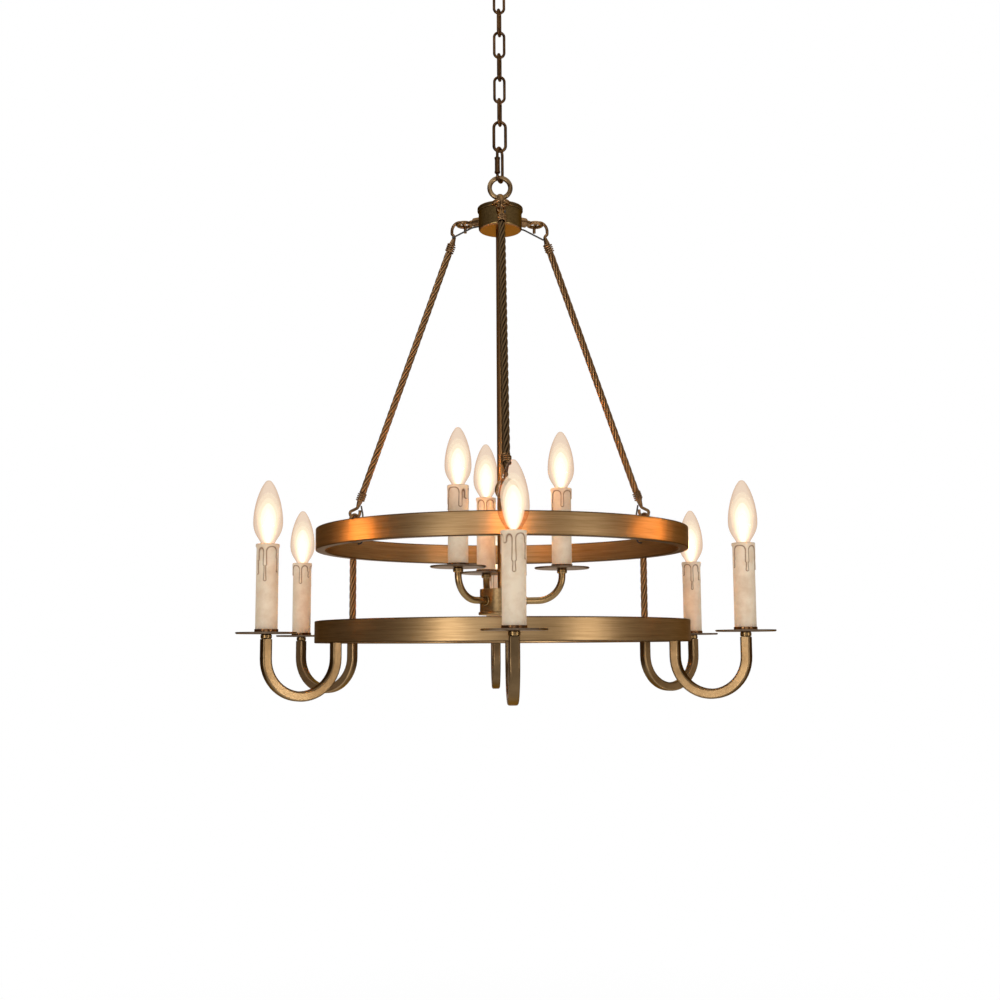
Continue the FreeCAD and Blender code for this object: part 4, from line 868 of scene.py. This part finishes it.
CAP_DULL = (0.45, 0.33, 0.18)
CAP_BRIGHT = (0.70, 0.55, 0.32)
THREAD_TURNS = 5
THREAD_STEPS = 8  # in each turn
THREAD_DEPTH = 0.0009
THREAD_START = 0.005  # over the cap's foot
THREAD_END = 0.002  # under the cap's top
FILAMENT_COLOUR = (1.0, 0.40, 0.09)
FILAMENT_STRENGTH = 190.0
FILAMENT_WIDTH = 0.0040
FILAMENT_LOW = 0.002
FILAMENT_HIGH = 0.034
HAZE_COLOUR = (1.0, 0.92, 0.77)
HAZE_LIGHTS = ((3.2, 0.75), (2.3, 0.58), (1.25, 0.42), (1.05, 0.34))  # (strength, cover), inner layer first
HAZE_WIDTH = 0.0064
HAZE_LOW = 0.0005
HAZE_HIGH = 0.042
HAZE_WIDER = 0.0025  # from each layer to the next
HAZE_LOWER = 0.0003
HAZE_HIGHER = 0.0065
ON_AXIS = 1e-6


def turned_piece(name, profile, middle, made, sides=48):
    """Turned shape from (radius, height) pairs. A radius of 0 closes it on the axis."""
    corners, faces, rows = [], [], []
    for radius, height in profile:
        if radius < ON_AXIS:
            rows.append([len(corners)] * sides)
            corners.append((middle.x, middle.y, height))
        else:
            rows.append(list(range(len(corners), len(corners) + sides)))
            for j in range(sides):
                azimuth = 2 * math.pi * j / sides
                corners.append((middle.x + radius * math.cos(azimuth), middle.y + radius * math.sin(azimuth),
                                height))
    for low_row, high_row in zip(rows, rows[1:]):
        for j in range(sides):
            ahead = (j + 1) % sides
            ring = [low_row[j], low_row[ahead], high_row[ahead], high_row[j]]
            faces.append([c for k, c in enumerate(ring) if c not in ring[:k]])
    return mesh_piece(name, corners, faces, made)


def bulb_glass_finish():
    """Clear glass, seen through a warm veil that is deeper at the sides. It lets the filament's light out."""
    made, tree, shader = finish("bulb_glass", 0.0, 0.02)
    point, _ = place_on_lamp(tree)
    shader.inputs["Transmission Weight"].default_value = 1.0
    shader.inputs["IOR"].default_value = GLASS_BENDING
    shader.inputs["Coat Weight"].default_value = 0.25
    shader.inputs["Coat Roughness"].default_value = 0.03
    edge = tree.nodes.new("ShaderNodeLayerWeight")
    edge.inputs["Blend"].default_value = 0.5
    uneven = math_node(tree, "SUBTRACT", grain(tree, point, scale=90.0, detail=1.0), 0.5)
    veil = math_node(tree, "ADD", edge.outputs["Facing"], math_node(tree, "MULTIPLY", uneven, 0.3))
    colour = between(tree, veil, GLASS_MIDDLE, GLASS_SIDES, low_at=0.25, high_at=0.95)
    link_nodes(tree, colour, shader.inputs["Base Color"])
    path = tree.nodes.new("ShaderNodeLightPath")
    clear = tree.nodes.new("ShaderNodeBsdfTransparent")
    clear.inputs["Color"].default_value = (*GLASS_SHADOW, 1)
    mix = tree.nodes.new("ShaderNodeMixShader")
    link_nodes(tree, path.outputs["Is Shadow Ray"], mix.inputs[0])
    link_nodes(tree, shader.outputs[0], mix.inputs[1])
    link_nodes(tree, clear.outputs[0], mix.inputs[2])
    link_nodes(tree, mix.outputs[0], tree.nodes["Material Output"].inputs["Surface"])
    return made


def light_finish(name, colour, strength, cover):
    """Light of the filament or of the haze round it."""
    made, tree, shader = finish(name, 0.0, 1.0)
    point, _ = place_on_lamp(tree)
    uneven = grain(tree, point, scale=120.0, detail=1.0)
    pale = tuple(min(part * 1.04, 1.0) for part in colour)
    link_nodes(tree, between(tree, uneven, colour, pale), shader.inputs["Emission Color"])
    shader.inputs["Base Color"].default_value = (0, 0, 0, 1)
    shader.inputs["Emission Strength"].default_value = strength
    shader.inputs["Alpha"].default_value = cover
    return made


glass = bulb_glass_finish()
filament_light = light_finish("filament_light", FILAMENT_COLOUR, FILAMENT_STRENGTH, cover=1.0)
haze_layers = [light_finish(f"filament_haze_{i}", HAZE_COLOUR, strength, cover)
               for i, (strength, cover) in enumerate(HAZE_LIGHTS)]
cap_metal = worn_metal("cap_metal", CAP_DULL, CAP_BRIGHT, roughness=0.25, patch=120.0)


def curve_points(first, first_pull, last_pull, last, steps):
    """(radius, height) pairs along a smooth curve, without its last point."""
    knots = [Vector((radius, 0, height)) for radius, height in (first, first_pull, last_pull, last)]
    points = interpolate_bezier(*knots, steps + 1)
    return [(max(p.x, 0.0), p.z) for p in points[:-1]]


def flame_profile(rim):
    """Outer side of the glass, from its neck to its tip."""
    top = rim + BULB_SHOWN
    neck = (NECK_RADIUS, rim - NECK_DROP)
    belly = (BELLY_RADIUS, rim + BELLY_HEIGHT)
    shoulder = (SHOULDER_RADIUS, top - SHOULDER_DROP)
    pulls = [(radius, rim + height) for radius, height in FLAME_PULLS]
    lower = curve_points(neck, pulls[0], pulls[1], belly, steps=14)
    upper = curve_points(belly, pulls[2], pulls[3], shoulder, steps=20)
    return lower + upper + [shoulder, (NIB_RADIUS, top - NIB_DROP), (0.0, top)]


def glow_profile(rim, width, low, high):
    """Teardrop of light, from the neck up round the filament, widest at six tenths of its height."""
    foot = (0.0, rim + low)
    tip = (0.0, rim + high)
    reach = high - low
    wide = (width, rim + low + reach * 0.60)
    under = (width * 0.90, rim + low + reach * 0.30)
    over = (width * 1.04, rim + low + reach * 0.80)
    lower = curve_points(foot, (width * 0.55, rim + low), under, wide, steps=9)
    upper = curve_points(wide, over, (width * 0.4, rim + high), tip, steps=9)
    return lower + upper + [tip]


def cap_profile(rim):
    """Screw cap, with a rounded thread and a contact under it."""
    top = rim - NECK_DROP
    foot = top - CAP_LENGTH
    points = [(radius, foot + height) for radius, height in CAP_FOOT]
    start = foot + THREAD_START
    end = top - THREAD_END
    steps = THREAD_TURNS * THREAD_STEPS
    for i in range(steps + 1):
        ridge = 0.5 - 0.5 * math.cos(2 * math.pi * i * THREAD_TURNS / steps)
        points.append((CAP_RADIUS - THREAD_DEPTH * (1 - ridge), start + (end - start) * i / steps))
    return points + [(CAP_TOP_RADIUS, top), (0.0, top)]


for name in bulb_names:
    low_corner, high_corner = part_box(name)
    middle = (low_corner + high_corner) / 2
    rim = high_corner.z - BULB_SHOWN
    body = name + "_lamp"
    envelope = turned_piece(name + "_glass", flame_profile(rim), middle, glass)
    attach(envelope, body)
    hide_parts(name)
    cap = turned_piece(name + "_cap", cap_profile(rim), middle, cap_metal)
    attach(cap, body)
    filament_shape = glow_profile(rim, FILAMENT_WIDTH, FILAMENT_LOW, FILAMENT_HIGH)
    filament = turned_piece(name + "_filament", filament_shape, middle, filament_light, sides=24)
    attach(filament, body)
    for i, layer in enumerate(haze_layers):
        haze_shape = glow_profile(rim, HAZE_WIDTH + HAZE_WIDER * i, HAZE_LOW - HAZE_LOWER * i,
                                  HAZE_HIGH + HAZE_HIGHER * i)
        haze = turned_piece(f"{name}_haze_{i}", haze_shape, middle, layer, sides=32)
        haze.visible_shadow = False
        haze.visible_diffuse = False
        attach(haze, body)
